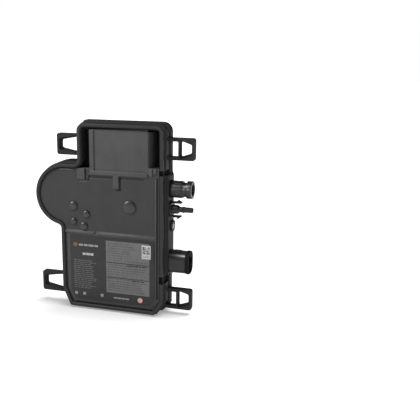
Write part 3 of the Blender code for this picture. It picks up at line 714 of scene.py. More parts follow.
def laminate(name):
    """Green solder mask with the glass weave and tracks just showing."""
    nodes = Nodes(name)
    bricks = nodes.add("ShaderNodeTexBrick")
    bricks.inputs["Scale"].default_value = 90.0
    bricks.inputs["Mortar Size"].default_value = 0.06
    nodes.link(nodes.place, bricks.inputs["Vector"])
    weave = nodes.noise(1500.0, 2.0)
    track = nodes.spread(bricks.outputs["Fac"], 0.0, 1.0, 0.0, 1.0)
    nodes.colour(track, (0.012, 0.10, 0.045), (0.03, 0.21, 0.09))
    nodes.roughness(weave, 0.3, 0.42)
    nodes.bump((track, 0.00006, 0.5), (weave, 0.00002, 0.3))
    return nodes.material


def printed(name, colour, roughness, mottle=0.12):
    """Ink or film: nearly even, with a faint print mottle and an orange-peel gloss."""
    nodes = Nodes(name)
    nodes.shader.inputs["Specular IOR Level"].default_value = 0.3
    cloud = nodes.noise(120.0, 4.0)
    peel = nodes.noise(700.0, 2.0)
    nodes.colour(nodes.spread(cloud), tone(colour, 1.0 - mottle), tone(colour, 1.0 + mottle))
    nodes.roughness(peel, roughness - 0.05, roughness + 0.06)
    nodes.bump((peel, 0.00003, 0.25))
    return nodes.material


def clear_plastic(name):
    """The light pipe's frosted polycarbonate."""
    nodes = Nodes(name)
    frost = nodes.noise(500.0, 3.0)
    nodes.colour(nodes.spread(frost), (0.15, 0.155, 0.155), (0.21, 0.215, 0.215))
    nodes.roughness(frost, 0.12, 0.26)
    nodes.shader.inputs["Transmission Weight"].default_value = 0.1
    nodes.shader.inputs["IOR"].default_value = 1.58
    nodes.bump((frost, 0.00003, 0.2))
    return nodes.material


def ground(name):
    """The pale studio floor."""
    nodes = Nodes(name)
    cloud = nodes.noise(3.0, 3.0)
    nodes.colour(nodes.spread(cloud), grey(0.86), grey(0.88))
    nodes.shader.inputs["Roughness"].default_value = 0.9
    nodes.shader.inputs["Specular IOR Level"].default_value = 0.1
    nodes.shader.inputs["Emission Color"].default_value = (1.0, 1.0, 1.0, 1.0)
    nodes.shader.inputs["Emission Strength"].default_value = FLOOR_GLOW
    return nodes.material


def second_surface(made, surface, chosen):
    """Gives a piece a second material on the faces whose middle, in mm, is chosen."""
    made.data.materials.append(surface)
    for face in made.data.polygons:
        if chosen(*(face.center / MM)):
            face.material_index = len(made.data.materials) - 1


# ---------------------------------------------------------------- housing


def in_painted_shade(x, y, z):
    """Whether a point lies on the inner faces of a wall or right-ear pocket, where painted shade goes."""
    level = any(low - 0.3 < z < high + 0.3 for (low, high), _ in NOTCHES)
    if level and x > 53.0 and FRONT_Y + 0.2 < y < NOTCH_FLOOR_Y + 0.2:
        return True
    reach = EAR_HALF_HEIGHT + EAR_POCKET_ROOM + GAP
    beside_ear = any(abs(z - ear[3]) < reach for ear in EARS if ear[1] > 0)
    return beside_ear and 55.0 < x < HALF_WIDTH and EAR_FRONT_Y - 2.0 < y < EAR_BACK_Y + 0.5


def wall_notches():
    """The two pockets in the connector side, from the front rim into the wall."""
    return [block(NOTCH_WALL_X, (IN_FRONT_Y, NOTCH_FLOOR_Y), z) for z, _ in NOTCHES]


def connector_pad():
    """The raised strip of wall that the connectors stand on."""
    wall_x, root_x = 60.5, 58.0
    upper_slope, lower_slope = 5.0, 8.0
    face = [
        (root_x, PAD_BOTTOM - lower_slope), (wall_x, PAD_BOTTOM - lower_slope),
        (PAD_X, PAD_BOTTOM), (PAD_X, PAD_TOP), (wall_x, PAD_TOP + upper_slope),
        (root_x, PAD_TOP + upper_slope),
    ]
    return prism(face, PAD_FRONT_Y, -0.9)


def ear_recess(side, wall_x, arm_range):
    """The room that one arm of an ear takes in the wall."""
    near, far = sorted((wall_x - side * EAR_ROOT, wall_x + side * EAR_ROOT * 0.5))
    room = block((near, far), (EAR_FRONT_Y - EAR_POCKET_ROOM, EAR_BACK_Y + GAP), arm_range)
    wall = prism(outline(EAR_RECESS_INSET), EAR_FRONT_Y - 2.0, EAR_BACK_Y + 2.0)
    return trimmed(room, wall, "DIFFERENCE")


def rear_shell(surface, painted_shade_surface):
    """The deep back shell, with its grooved wall, connector pad, recesses and ribbed back."""
    outside = [
        (CAVITY_INSET, FLOOR_WALL_Y), (CAVITY_INSET, REAR_TOP_Y),
        (SEAM_FLOOR_INSET, REAR_TOP_Y), (SEAM_FLOOR_INSET, REAR_TOP_Y + SEAM_EXTRA),
        (REAR_BAND_INSET, REAR_TOP_Y + SEAM_EXTRA), (REAR_BAND_INSET, REAR_GROOVE_Y),
        (REAR_GROOVE_INSET, REAR_GROOVE_Y + 0.4), (REAR_GROOVE_INSET, REAR_FLANGE_Y - 0.2),
        (FLANGE_INSET, REAR_FLANGE_Y), (FLANGE_INSET, 0.0), (4.0, 0.0),
    ]
    section = []
    for inset, y in rounded_profile(outside, 0.8, 4, closed=False):
        on_flange = y > REAR_FLANGE_Y - 0.1 and inset < REAR_GROOVE_INSET
        section.append((inset, y, FLANGE_CORNERS) if on_flange else (inset, y))
    shell = to_object("rear_shell", sweep(section))
    join(shell, connector_pad())
    for radius, y, z in HOLES:
        cut(shell, turned([(50.0, radius), (FAR_RIGHT_X, radius)], "X", (y, z), 32))
    for _, side, wall_x, centre_z, _, _ in EARS:
        for low, high in ((EAR_ARM_Z, EAR_HALF_HEIGHT), (-EAR_HALF_HEIGHT, -EAR_ARM_Z)):
            arm_range = (centre_z + low - EAR_POCKET_ROOM, centre_z + high + EAR_POCKET_ROOM)
            cut(shell, ear_recess(side, wall_x, arm_range))
    cut(shell, *wall_notches(), *back_pockets())
    round_edges(shell, 0.3)
    piece(shell, surface, ["rear_housing"])
    # Painted shade: the pocket faces take the near-black plastic.
    second_surface(shell, painted_shade_surface, in_painted_shade)


def back_pockets():
    """Shallow pockets that leave a rim and a grid of ribs standing on the back."""
    places = [(x_range, z_range) for x_range in BACK_COLUMNS for z_range in BACK_ROWS]
    places += [(x_range, BACK_TOP_ROW) for x_range in BACK_TOP_COLUMNS]
    return [block(x, (-BACK_POCKET_DEPTH, 1.0), z, BACK_POCKET_CORNER) for x, z in places]


def front_rim(surface, painted_shade_surface):
    """The rim round the front, with a rolled outer edge and its two notches."""
    section = [
        (0.0, FRONT_Y), (0.0, FRAME_GROOVE_Y - SEAM_EXTRA),
        (FRAME_GROOVE_INSET, FRAME_GROOVE_Y - SEAM_EXTRA),
        (FRAME_GROOVE_INSET, FRAME_BACK_Y), (SKIRT_INSET, FRAME_BACK_Y),
        (SKIRT_INSET, LIP_BACK_Y), (LIP_INSET, LIP_BACK_Y), (LIP_INSET, -28.6),
        (LIP_INSET - 1.0, FRONT_Y),
    ]
    rim = to_object("front_rim", sweep(rounded_profile(section, 0.7, 4), ring=True))
    cut(rim, *wall_notches())
    cut(rim, *(block((start, PAST_RIGHT_X), (IN_FRONT_Y, REAR_TOP_Y), z) for z, start in NOTCHES))
    round_edges(rim, 0.25, angle=40.0)
    piece(rim, surface, ["front_frame"])
    # Painted shade: the pocket faces take the near-black plastic.
    second_surface(rim, painted_shade_surface, in_painted_shade)


def moat(x_range, bottom):
    """A deep pocket between the block and the rim."""
    pocket = prism(outline(MOAT_INSET), IN_FRONT_Y, MOAT_FLOOR_Y)
    return trimmed(pocket, block(x_range, (FAR_FRONT_Y, 0.0), (bottom, FAR_TOP_Z)), "INTERSECT")


def block_flank():
    """The slope from the block's right side down into the moat."""
    section = [
        (BLOCK_RIGHT - 1.0, -27.0), (BLOCK_RIGHT + 1.2, -26.6), (BLOCK_RIGHT + 4.6, -23.0),
        (BLOCK_RIGHT + 6.6, -17.0), (BLOCK_RIGHT + 7.0, MOAT_FLOOR_Y + 0.5),
        (BLOCK_RIGHT - 1.0, MOAT_FLOOR_Y + 0.5),
    ]
    return prism(rounded_profile(section, 4.0, 6), MOAT_RIGHT_BOTTOM - 0.5, BLOCK_TOP - 0.8, "Z")


def on_block(x, y, z):
    """Whether a point lies on the hollow block's face, which wears the painted light."""
    return BLOCK_LEFT < x < BLOCK_RIGHT + 0.6 and BLOCK_BOTTOM - 0.5 < z < BLOCK_TOP and y < PLATE_EDGE_Y


def front_plate(surface, painted_light_surface, painted_shade_surface):
    """The inset plate with its pocket, hollow block, moats, ribs and raised label panel; the block face
    and ribs wear painted light.
    """
    under = PLATE_Y + 2.0
    section = [
        (SEEN_PLATE_INSET + 3.0, PLATE_Y), (SEEN_PLATE_INSET, PLATE_Y),
        (SEEN_PLATE_INSET, PLATE_EDGE_Y), (PLATE_EDGE_INSET, PLATE_EDGE_Y),
        (PLATE_EDGE_INSET, PLATE_BACK_Y), (PLATE_INSET + 1.8, PLATE_BACK_Y),
        (PLATE_INSET + 1.8, under),
    ]
    plate = to_object("front_plate", sweep(rounded_profile(section, 0.5, 4, closed=False)))
    liner = prism(outline(LINER_INSET), under - 0.4, MOAT_BACK_Y)
    limits = block((-42.0, FAR_RIGHT_X), (FAR_FRONT_Y, 0.0), (BLOCK_BOTTOM, FAR_TOP_Z))
    join(plate, trimmed(liner, limits, "INTERSECT"))
    face_x = (BLOCK_LEFT + BLOCK_RIDGE, BLOCK_RIGHT + 1.0)
    cut(
        plate,
        moat((-41.0, BLOCK_LEFT), MOAT_LEFT_BOTTOM),
        moat((BLOCK_RIGHT, FAR_RIGHT_X), MOAT_RIGHT_BOTTOM),
        block(face_x, (IN_FRONT_Y, BLOCK_FACE_Y), (BLOCK_BOTTOM, BLOCK_TOP - 0.8)),
        block((-41.0, 58.0), (IN_FRONT_Y, PLATE_EDGE_Y), (BLOCK_TOP, 99.5)),
    )
    for x_range, z_range, depth, corner in PLATE_GROOVES:
        cut(plate, block(x_range, (IN_FRONT_Y, PLATE_Y + depth), z_range, corner))
    edge_slot = ((NOTCH_PLATE_X, PAST_RIGHT_X), (IN_FRONT_Y, PLATE_BACK_Y - 0.4))
    cut(plate, *(block(*edge_slot, z) for z, _ in NOTCHES))
    join(plate, block_flank())
    round_edges(plate, 0.3)
    piece(plate, surface, ["front_cover"])
    # Painted light: the block face takes a lighter copy of the cover plastic.
    second_surface(plate, painted_light_surface, on_block)
    # Painted shade: the faces of the edge slots take the near-black plastic.
    second_surface(plate, painted_shade_surface, in_painted_shade)
    # Painted light: the ribs, ridge, tab, ledge and panel take a lighter copy of the cover plastic.
    piece(to_object("front_plate_ribs", plate_details()), painted_light_surface)


def plate_details():
    """The raised ribs, ridge, tab and panel that stand on the plate."""
    sunk = PLATE_Y + 0.6
    parts = [block(x, (front, sunk), z, corner) for x, front, z, corner in PLATE_RIBS]
    panel = [
        (-53.2, PANEL_TOP_Z, 1.0), (PANEL_RIGHT_X, PANEL_TOP_Z, 1.0),
        (PANEL_RIGHT_X, -86.6, 1.5), (45.0, -97.6, 1.5), (-46.2, -97.6, 1.5),
        (-53.2, -83.6, 1.5),
    ]
    ledge = [
        (PLATE_Y + 0.4, -13.8), (PLATE_Y - LEDGE_RISE, -17.0),
        (PLATE_Y - LEDGE_RISE, PANEL_TOP_Z), (PLATE_Y + 0.4, -18.8),
    ]
    parts += [prism(ledge, left, right, "X") for left, right in ((-55.0, -20.5), (-17.5, PANEL_RIGHT_X))]
    ribs = [soften(part, 0.35) for part in parts]
    return merge([*ribs, soften(prism(rounded_polygon(panel), PANEL_Y, sunk), 0.8)])


def seal_rings(surface):
    """The two soft rings are the CAD's own, with a rubber surface."""
    for name in ("frame_gasket", "cover_gasket"):
        repaint(name, surface)


def dome_plugs(surface):
    """Domed plugs, each on a stem that passes through the plate."""
    steps = 11
    for name, x, z, radius in PLUGS:
        crown = PLATE_Y - 0.05
        stem = radius * 0.6
        profile = [(DOME_FOOT_Y, stem), (crown, stem), (crown, radius)]
        for step in range(1, steps):
            angle = math.radians(90.0 * step / steps)
            across = radius * math.cos(angle) ** DOME_FULLNESS
            profile.append((crown - DOME_RISE * math.sin(angle), across))
        dome = to_object(f"{name}_dome", turned(profile, "Y", (x, z), 48))
        piece(dome, surface, [name])


def ears(surface):
    """The slotted ears, each a moulded frame with a stiffening lip round its window."""
    for name, side, wall_x, centre_z, reach, crossbar in EARS:
        wall = wall_x - side * FLANGE_INSET
        half = EAR_HALF_HEIGHT
        arm = EAR_ARM_Z
        near = crossbar + EAR_BAR
        far = reach - EAR_END_BAR
        behind = -EAR_ROOT - 1.0

        def mirrored(first, last, wall=wall, side=side, centre_z=centre_z):
            """A shape even about the ear's middle, from (reach, half height, radius) at each end."""
            corners = [(*first, -1), (*last, -1), (*last, 1), (*first, 1)]
            return rounded_polygon([(wall + side * u, centre_z + way * w, r) for u, w, r, way in corners])

        face = mirrored((-EAR_ROOT, half, 0), (reach, half, 2.6))
        far_arm = arm - 3.6
        window = mirrored((near, arm, 1.0), (far, far_arm, 2.0))
        gap = mirrored((behind, arm, 0), (crossbar, arm, 1.0))
        ear = to_object(f"{name}_frame", prism(face, EAR_FRONT_Y, EAR_BACK_Y))
        for opening in (window, gap):
            cut(ear, prism(opening, EAR_FRONT_Y - 1.0, EAR_BACK_Y + 1.0))
        cut(ear, prism(outline(EAR_RECESS_INSET - GAP), EAR_FRONT_Y - 2.0, EAR_BACK_Y + 2.0))
        lip = 1.9
        shallow = mirrored((near - lip * 0.6, arm + lip, 1.6), (far + lip, far_arm + lip, 2.6))
        cut(ear, prism(shallow, EAR_FRONT_Y - 1.0, EAR_BACK_Y - 2.2))
        round_edges(ear, 0.5, 3)
        piece(ear, surface, [name])


# ---------------------------------------------------------------- labels


def text_line(left, right, z, height, rng, word=(2.0, 5.5), space=0.9):
    """One row of short bars that reads as small print from a distance, and says nothing."""
    bars = []
    x = left
    while x < right - word[0]:
        width = min(rng.uniform(*word), right - x)
        bars.append(((x, x + width), (z - height / 2, z + height / 2)))
        x += width + space
    return bars


def ink(name, rectangles, surface, back, thickness=0.05, radius=0.0):
    """Flat printed shapes, as one thin piece."""
    shapes = [prism(rectangle(x, z, radius, 2), back - thickness, back) for x, z in rectangles]
    return piece(to_object(name, merge(shapes)), surface)


def label_art(inks, face):
    """Generic print: a coloured dot, rows of bars, a spec table, symbols and a second dot."""
    rng = random.Random(7)
    pale = text_line(-39.0, -13.0, -31.0, 2.3, rng, (4.0, 8.0), 0.8)
    pale += text_line(2.0, 23.0, -89.2, 1.6, rng, (3.0, 5.5), 0.8)
    ink("label_print_pale", pale, inks["pale"], face)
    white = text_line(-34.5, -20.0, -41.2, 2.6, rng, (3.6, 5.0), 0.7)
    ink("label_print_white", white, inks["white"], face)
    small = []
    for row in range(15):
        z = -49.0 - row * 2.3
        small += text_line(-45.5, rng.uniform(-24.0, -18.0), z, 1.0, rng)
    ink("label_print_grey", small, inks["grey"], face)
    table_face = [((-6.5, 44.0), (-83.5, -23.5))]
    ink("label_table", table_face, inks["table"], face, 0.05, 0.8)
    on_table = face - 0.05
    rows = []
    for row in range(21):
        z = -26.5 - row * 2.7
        right = rng.uniform(20.0, 30.0) if z > -43.0 else rng.uniform(32.0, 42.0)
        rows += text_line(-4.5, right, z, 0.9, rng)
    ink("label_table_print", rows, inks["row"], on_table, 0.04)
    rules = [((-6.0, 43.5), (z - 0.4, z + 0.4)) for z in (-48.4, -65.6)]
    rules += text_line(18.0, 43.0, -50.2, 1.3, rng) + text_line(24.0, 38.0, -67.4, 1.2, rng)
    ink("label_table_rules", rules, inks["dark"], on_table, 0.045)
    symbols = []
    for x in (-43.3, -33.4, -12.0):
        mark = rectangle((x - 1.8, x + 1.8), (-89.8, -86.4), 0.9, 3)
        symbols.append(prism(mark, face - 0.05, face))
    piece(to_object("label_symbols", merge(symbols)), inks["pale"])
    dots = (
        ("label_dot_left", -43.1, -31.0, 2.5, "orange"),
        ("label_dot_right", 33.2, -89.0, 2.9, "red"),
    )
    for name, x, z, radius, colour in dots:
        dot = to_object(name, turned([(face - 0.05, radius), (face, radius)], "Y", (x, z), 32))
        piece(dot, inks[colour])


def code_pattern(face, inks):
    """A square of random dark modules over two lines of print."""
    rng = random.Random(21)
    cells = []
    left, right, bottom = 36.5, 44.6, -34.9
    count = 13
    size = 0.62
    for row in range(count):
        for column in range(count):
            if rng.random() < 0.48 or row == 0 or column == 0:
                x = left + column * size
                z = bottom + row * size
                cells.append(((x, x + size), (z, z + size)))
    for z in (-37.0, -38.6):
        cells += text_line(left, right, z, 0.5, rng, (1.2, 2.4), 0.5)
    ink("code_label_print", cells, inks["dark"], face, 0.03)


def labels(film, paper, inks):
    """The rating label with its print, and the code label."""
    sheet = [
        (-49.6, -19.6, 1.0), (49.6, -19.6, 1.0), (49.6, -85.5, 1.0), (44.0, -94.8, 1.0),
        (-44.0, -94.8, 1.0), (-49.6, -85.5, 1.0),
    ]
    face = PANEL_Y - 0.55
    film_sheet = soften(prism(rounded_polygon(sheet), face, PANEL_Y), 0.08)
    piece(to_object("rating_label_film", film_sheet), film, ["rating_label"])
    label_art(inks, face)
    code_face = face - 0.25
    code = soften(block((35.4, 45.7), (code_face, face), (-40.6, -25.2), 0.6), 0.06)
    piece(to_object("code_label_film", code), paper, ["code_label"])
    code_pattern(code_face, inks)


# ---------------------------------------------------------------- connectors


def seal_ring(name, along, radii, rounding, centre, segments, surface):
    """A soft ring round an axis along X."""
    near, far = along
    inner, outer = radii
    ring = rounded_profile([(near, inner), (far, inner), (far, outer), (near, outer)], rounding, 4)
    piece(to_object(name, turned(ring, "X", centre, segments, tube=True)), surface)


def contact(name, tip, centre, half_width, segments, surface, stands_for):
    """A turned pin with a foot that drops to the board."""
    y, z = centre
    foot = block((PIN_START_X, PIN_FOOT_END_X), (y, BOARD_FACE_Y), (z - half_width, z + half_width))
    pin = merge([turned(tip, "X", centre, segments), foot])
    piece(to_object(name, pin), surface, [stands_for])


def dc_socket(surface, painted_root_shade, metal_surface, seal):
    """The wide DC connector: a ribbed barrel, two latch windows and a heavier end collar."""
    y, z = CONNECTOR_Y, DC_SOCKET_Z
    start = SOCKET_X + 13.6
    end = SOCKET_X + 18.0
    section = [
        (53.0, 4.4), (SOCKET_X, 4.4), (SOCKET_X, 9.6), (SOCKET_X + 2.2, 9.6),
        (SOCKET_X + 2.6, 9.1), (start, 9.1), (start, 8.6), (end, 8.6), (end, 9.6),
        (DC_SOCKET_END, 9.6), (DC_SOCKET_END, 6.4), (70.0, 6.4), (70.0, 2.4), (53.0, 2.4),
    ]
    barrel = turned(rounded_profile(section, 0.45, 3), "X", (y, z), 64, tube=True)
    body = to_object("dc_socket_barrel", barrel)
    for side in (1, -1):
        low, high = sorted((z + side * 5.6, z + side * 11.0))
        cut(body, block((start + 0.2, end - 0.2), (y - 5.2, y + 5.2), (low, high)))
    round_edges(body, 0.25, angle=40.0)
    piece(body, surface, ["dc_socket_housing"])
    # Painted shade: the barrel's root against the pad takes the near-black plastic.
    second_surface(body, painted_root_shade, lambda x, y, z: x < SOCKET_X + 2.5)
    ribs = []
    rib_circle = 9.05
    rib_radius = 0.45
    for index in range(10):
        angle = math.radians(36.0 * index + 18.0)
        place = (y + rib_circle * math.cos(angle), z + rib_circle * math.sin(angle))
        rib = turned([(SOCKET_X + 3.2, rib_radius), (start - 1.0, rib_radius)], "X", place, 12)
        ribs.append(soften(rib, 0.15))
    piece(to_object("dc_socket_ribs", merge(ribs)), surface)
    seal_ring("dc_socket_seal", (71.0, 73.6), (5.0, 6.5), 0.6, (y, z), 48, seal)
    tip = [(PIN_START_X, 0.0001), (PIN_START_X, 2.0), (82.0, 2.0), (82.0, 0.0001)]
    tip = rounded_profile(tip, 0.8, 4, closed=False)
    contact("dc_socket_pin", tip, (y, z), 1.6, 32, metal_surface, "dc_socket_contact")


def dc_plug(surface, metal_surface, seal):
    """The slim DC connector: a stepped nose with a seal ring, between two latch arms."""
    y, z = CONNECTOR_Y, DC_PLUG_Z
    section = [
        (53.0, 4.4), (SOCKET_X, 4.4), (SOCKET_X, 9.2), (SOCKET_X + 1.7, 9.2),
        (SOCKET_X + 1.7, 5.0), (SOCKET_X + 7.5, 4.8), (SOCKET_X + 9.6, 3.1),
        (DC_PLUG_END, 2.9), (DC_PLUG_END, 1.95), (53.0, 1.95),
    ]
    body = turned(rounded_profile(section, 0.4, 3), "X", (y, z), 48, tube=True)
    piece(to_object("dc_plug_nose", body), surface, ["dc_plug_housing"])
    seal_ring("dc_plug_seal", (76.4, 78.0), (2.8, 3.5), 0.5, (y, z), 40, seal)
    tip = [(PIN_START_X, 1.6), (86.0, 1.6), (86.0, 0.8), (74.0, 0.8)]
    tip = rounded_profile(tip, 0.3, 3, closed=False)
    contact("dc_plug_pin", tip, (y, z), 1.5, 32, metal_surface, "dc_plug_contact")
    for name, side in (("latch_arm_upper", 1), ("latch_arm_lower", -1)):
        side_view = [
            (LATCH_ROOT_X, -0.8), (75.0, -0.8), (75.4, -0.3), (71.6, 2.4), (70.8, 2.4),
            (70.4, 0.8), (LATCH_ROOT_X, 0.8),
        ]
        face = [(x, z + side * (LATCH_OFFSET + up)) for x, up in side_view]
        arm = soften(prism(face, y - 3.0, y + 3.0), 0.22)
        piece(to_object(f"{name}_spring", arm), surface, [name], body=name)


def rounded_section(half_depth, half_height, radius, y, z, steps=8):
    """A rounded rectangle in the plane of Y and Z."""
    corners = [
        (y - half_depth, z - half_height, radius),
        (y + half_depth, z - half_height, radius),
        (y + half_depth, z + half_height, radius),
        (y - half_depth, z + half_height, radius),
    ]
    return rounded_polygon(corners, steps)


def ac_socket(surface, painted_lip_shade, insulator, metal_surface):
    """The AC connector: a rounded-square shroud with an end lip, a key, an insert and two pins."""
    y, z = AC_Y, AC_Z
    tube = prism(rounded_section(9.8, 12.3, 8.2, y, z), SOCKET_X, AC_END - 3.6, "X")
    shroud = to_object("ac_socket_shroud", tube)
    collar = rounded_section(10.3, 12.8, 8.6, y, z)
    join(shroud, prism(collar, AC_END - 4.0, AC_END, "X"))
    join(shroud, prism(collar, SOCKET_X, SOCKET_X + 1.6, "X"))
    join(shroud, block((SOCKET_X + 4, AC_END - 10), (y - 1.6, y + 1.6), (z + 11.0, z + 13.3), 0.5))
    join(shroud, turned([(53.0, 7.2), (SOCKET_X + 1, 7.2)], "X", (CONNECTOR_Y, z), 32))
    cut(shroud, prism(rounded_section(8.2, 10.7, 6.8, y, z), 68.0, 90.0, "X"))
    cut(shroud, turned([(50.0, 5.9), (70.0, 5.9)], "X", (CONNECTOR_Y, z), 32))
    round_edges(shroud, 0.35)
    piece(shroud, surface, ["ac_socket_housing"])
    # Painted shade: the end lip takes the near-black, matt plastic.
    second_surface(shroud, painted_lip_shade, lambda x, y, z: x > AC_END - 3.8)
    core = prism(rounded_section(7.9, 10.4, 6.5, y, z), 68.3, 74.0, "X")
    insert = to_object("ac_socket_core", soften(core, 0.4))
    for offset in (4.2, -4.2):
        cut(insert, turned([(60.0, 1.6), (80.0, 1.6)], "X", (CONNECTOR_Y, z + offset), 24))
    piece(insert, insulator, ["ac_socket_insert"])
    for name, offset in (("ac_pin_1", 4.2), ("ac_pin_2", -4.2)):
        tip = rounded_profile([(PIN_START_X, 1.3), (80.0, 1.3), (80.0, 0.05)], 0.7, 4, closed=False)
        contact(f"{name}_blade", tip, (CONNECTOR_Y, z + offset), 1.0, 24, metal_surface, name)


def status_light(surface, lens):
    """The status light: a stepped bezel round a domed lens."""
    centre = (LED_Y, LED_Z)
    ring = [
        (SOCKET_X, 6.5), (SOCKET_X + 1.9, 6.2), (SOCKET_X + 1.9, 4.9),
        (SOCKET_X + 0.5, 4.6), (SOCKET_X, 4.6),
    ]
    bezel = turned(rounded_profile(ring, 0.35, 3), "X", centre, 48, tube=True)
    piece(to_object("status_bezel", bezel), surface, ["led_bezel"])
    stem, lens_radius, lens_rise = 2.3, 4.4, 1.6
    foot = SOCKET_X + 0.6
    steps = 8
    profile = [(54.6, stem), (SOCKET_X, stem), (SOCKET_X, lens_radius), (foot, lens_radius)]
    for step in range(1, steps):
        angle = math.radians(90.0 * step / steps)
        profile.append((foot + lens_rise * math.sin(angle), lens_radius * math.cos(angle)))
    pipe = turned(profile, "X", centre, 40)
    piece(to_object("status_lens", pipe), lens, ["led_light_pipe"])


# ---------------------------------------------------------------- inside


def repaint(name, surface):
    """A CAD node that keeps its shape and takes a better surface."""
    node = frame["nodes"][name]
    for slot in node.material_slots:
        slot.material = surface


def inner_parts(surfaces):
    """The parts under the cover keep their CAD shapes."""
    wearers = {
        "board": ["circuit_board"],
        "aluminium": ["heat_spreader"],
        "pad": ["thermal_pad"],
        "ferrite": ["transformer_core_rear", "transformer_core_front", "choke_core"],
        "wire": ["transformer_winding", "choke_winding_left", "choke_winding_right"],
        "epoxy": ["control_chip", *(f"power_transistor_{number}" for number in range(1, 5))],
        "film": ["filter_capacitor"],
        "ceramic": ["surge_absorber"],
        "tube": ["ac_fuse"],
        "chip": ["status_led"],
        "connector": ["dc_socket_nut", "dc_plug_nut"],
        "screw": [f"board_screw_{number}" for number in range(1, 5)],
        "can": [f"bulk_capacitor_{number}" for number in range(1, 7)],
    }
    for key, names in wearers.items():
        for name in names:
            repaint(name, surfaces[key])


# ---------------------------------------------------------------- studio


def floor():
    """The floor that the inverter stands on."""
    half_m = 8.0
    mesh = bpy.data.meshes.new("studio_floor")
    corners = [(-half_m, -half_m), (half_m, -half_m), (half_m, half_m), (-half_m, half_m)]
    mesh.from_pydata([(x, y, FLOOR_Z * MM) for x, y in corners], [], [(0, 1, 2, 3)])
    mesh.materials.append(ground("studio_floor"))
    made = add_object("studio_floor", mesh)
    return made


def sky():
    """The world. The camera sees it white; what lights the scene is softer."""
    world = bpy.data.worlds.new("studio_world")
    bpy.context.scene.world = world
    nodes = Tree(world)
    soft = nodes.tree.nodes["Background"]
    soft.inputs["Strength"].default_value = WORLD_LIGHT
    white = nodes.add("ShaderNodeBackground")
    white.inputs["Color"].default_value = (1.0, 1.0, 1.0, 1.0)
    toward = nodes.add("ShaderNodeVectorMath", operation="DOT_PRODUCT")
    toward.inputs[1].default_value = Vector(SOFT_LIGHT_FROM).normalized()
    nodes.link(nodes.add("ShaderNodeTexCoord").outputs["Generated"], toward.inputs[0])
    level = nodes.spread(toward.outputs["Value"], 0.18, 1.0, -0.6, 1.0)
    nodes.link(level, soft.inputs["Color"])
    either = nodes.add("ShaderNodeMixShader")
    nodes.link(nodes.add("ShaderNodeLightPath").outputs["Is Camera Ray"], either.inputs["Fac"])
    nodes.link(soft.outputs["Background"], either.inputs[1])
    nodes.link(white.outputs["Background"], either.inputs[2])
    nodes.link(either.outputs["Shader"], nodes.tree.nodes["World Output"].inputs["Surface"])


def studio():
    """Floor, world and lamps. Most lamps light only some of the pieces."""
    ground_plane = floor()
    sky()
    plugs = made_of("plug_plastic")
    mouldings = [*made_of("housing_moulding"), *made_of("rim_moulding")]
    connectors = made_of("connector_moulding")
    wide = [part for part in connectors if part.name.startswith("dc_socket")]
    lamp("key_lamp", KEY_LAMP, [ground_plane, *plugs], "EXCLUDE")
    lamp("plug_lamp", PLUG_LAMP, plugs)
    lamp("side_lamp", SIDE_LAMP, mouldings)
    lamp("front_strip", FRONT_STRIP, wide)
    lamp("top_strip", TOP_STRIP, connectors)
    lamp("floor_sun", FLOOR_SUN, [ground_plane], kind="SUN")
    bpy.context.scene.view_settings.view_transform = "Standard"


def made_of(material_name):
    """The objects that wear a material."""
    return [
        made
        for made in bpy.context.scene.objects
        if any(slot.material and slot.material.name == material_name for slot in made.material_slots)
    ]


def lamp(name, settings, receivers, state="INCLUDE", kind="AREA"):
    """A lamp that faces the inverter and lights only the receivers, or all but them."""
    place, size, power = settings
    data = bpy.data.lights.new(name, kind)
    if kind == "AREA":
        data.size = size
    else:
        data.angle = math.radians(size)
    data.energy = power
    made = add_object(name, data)
    made.location = place
    made.rotation_euler = (-Vector(place)).to_track_quat("-Z", "Y").to_euler()
    group = bpy.data.collections.new(f"{name}_receivers")
    for receiver in receivers:
        group.objects.link(receiver)
    made.light_linking.receiver_collection = group
    for member in group.collection_objects:
        member.light_linking.link_state = state


def camera():
    """The camera: from the right and a little above, with a slight roll."""
    azimuth, elevation, roll = (math.radians(angle) for angle in CAMERA_ANGLES)
    level = math.cos(elevation)
    back = Vector((math.sin(azimuth) * level, -math.cos(azimuth) * level, math.sin(elevation)))
    right = (-back).cross(Vector((0.0, 0.0, 1.0))).normalized()
    up = right.cross(-back)
    turned_right = right * math.cos(roll) + up * math.sin(roll)
    turned_up = up * math.cos(roll) - right * math.sin(roll)
    data = bpy.data.cameras.new("camera")
    data.sensor_width = 36.0
    data.lens = CAMERA_LENS
    data.shift_x = CAMERA_SHIFT_X
    data.clip_start = 0.01
    made = add_object("camera", data)
    axes = Matrix((turned_right, turned_up, back)).transposed().to_4x4()
    made.matrix_world = Matrix.Translation(CAMERA_PLACE) @ axes
    bpy.context.scene.camera = made


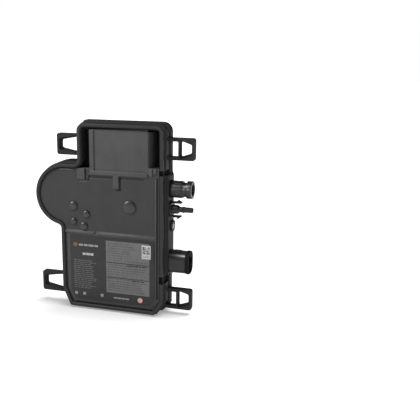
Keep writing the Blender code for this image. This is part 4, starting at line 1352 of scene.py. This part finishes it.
def build():
    """Every piece of the inverter."""
    housing = moulded("housing_moulding", grey(0.0155, 0.0004), 0.55, wear=1.4, gloss=0.06)
    rim = moulded("rim_moulding", grey(0.0158, 0.0003), 0.5, wear=1.2, gloss=0.16)
    cover = moulded("cover_moulding", grey(0.0215, 0.0005), 0.46)
    # Painted light: a lighter copy of the cover plastic, so the raised faces read as lit.
    raised = moulded("painted_light_plastic", grey(0.046, 0.0005), 0.55, gloss=0.16)
    plug = moulded("plug_plastic", grey(0.015, 0.0005), 0.34, 0.25, wear=1.1, gloss=0.5)
    black = grey(0.005, 0.0005)
    connector = moulded("connector_moulding", black, 0.34, 0.25, wear=1.1, gloss=0.38)
    insulator = moulded("insulator_plastic", grey(0.02), 0.5)
    # Near-black painted shade for the pockets, the DC socket's root and the AC socket's end lip.
    painted_shade = moulded("painted_shade_plastic", grey(0.004), 0.7, gloss=0.1)
    seal = rubber("seal_rubber_soft", grey(0.008, 0.0005))
    tin = metal("tinned_metal", (0.74, 0.72, 0.68), 0.3, (0.1, 1.0, 1.0))
    film = printed("label_film", grey(0.0165), 0.42)
    paper = printed("label_paper", grey(0.36), 0.55)
    inks = {name: printed(f"{name}_ink", colour, 0.5) for name, colour in INK_COLOURS.items()}
    rear_shell(housing, painted_shade)
    front_rim(rim, painted_shade)
    front_plate(cover, raised, painted_shade)
    seal_rings(seal)
    dome_plugs(plug)
    ears(housing)
    labels(film, paper, inks)
    dc_socket(connector, painted_shade, tin, seal)
    dc_plug(connector, tin, seal)
    ac_socket(connector, painted_shade, insulator, tin)
    status_light(housing, clear_plastic("lens_plastic"))
    inner_parts(
        {
            "board": laminate("board_laminate"),
            "aluminium": metal("mill_aluminium", (0.78, 0.78, 0.80), 0.38, (1.0, 1.0, 0.05)),
            "pad": speckled("gap_pad", (0.35, 0.45, 0.6), 0.8),
            "ferrite": speckled("ferrite", (0.06, 0.06, 0.07), 0.6),
            "wire": wound_wire("enamelled_wire", (0.62, 0.27, 0.12)),
            "epoxy": speckled("moulded_epoxy", (0.02, 0.02, 0.022), 0.5),
            "film": speckled("capacitor_film", (0.70, 0.50, 0.10), 0.5, 400.0, 0.1),
            "ceramic": speckled("dipped_ceramic", (0.09, 0.18, 0.50), 0.45, 500.0, 0.2),
            "tube": speckled("fuse_ceramic", (0.80, 0.78, 0.72), 0.4, 500.0, 0.08),
            "chip": printed("led_chip", (0.85, 0.80, 0.50), 0.4),
            "connector": connector,
            "screw": metal("screw_steel", (0.60, 0.60, 0.62), 0.32),
            "can": printed("capacitor_sleeve", (0.04, 0.05, 0.11), 0.35),
        }
    )


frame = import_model()
build()
studio()
camera()
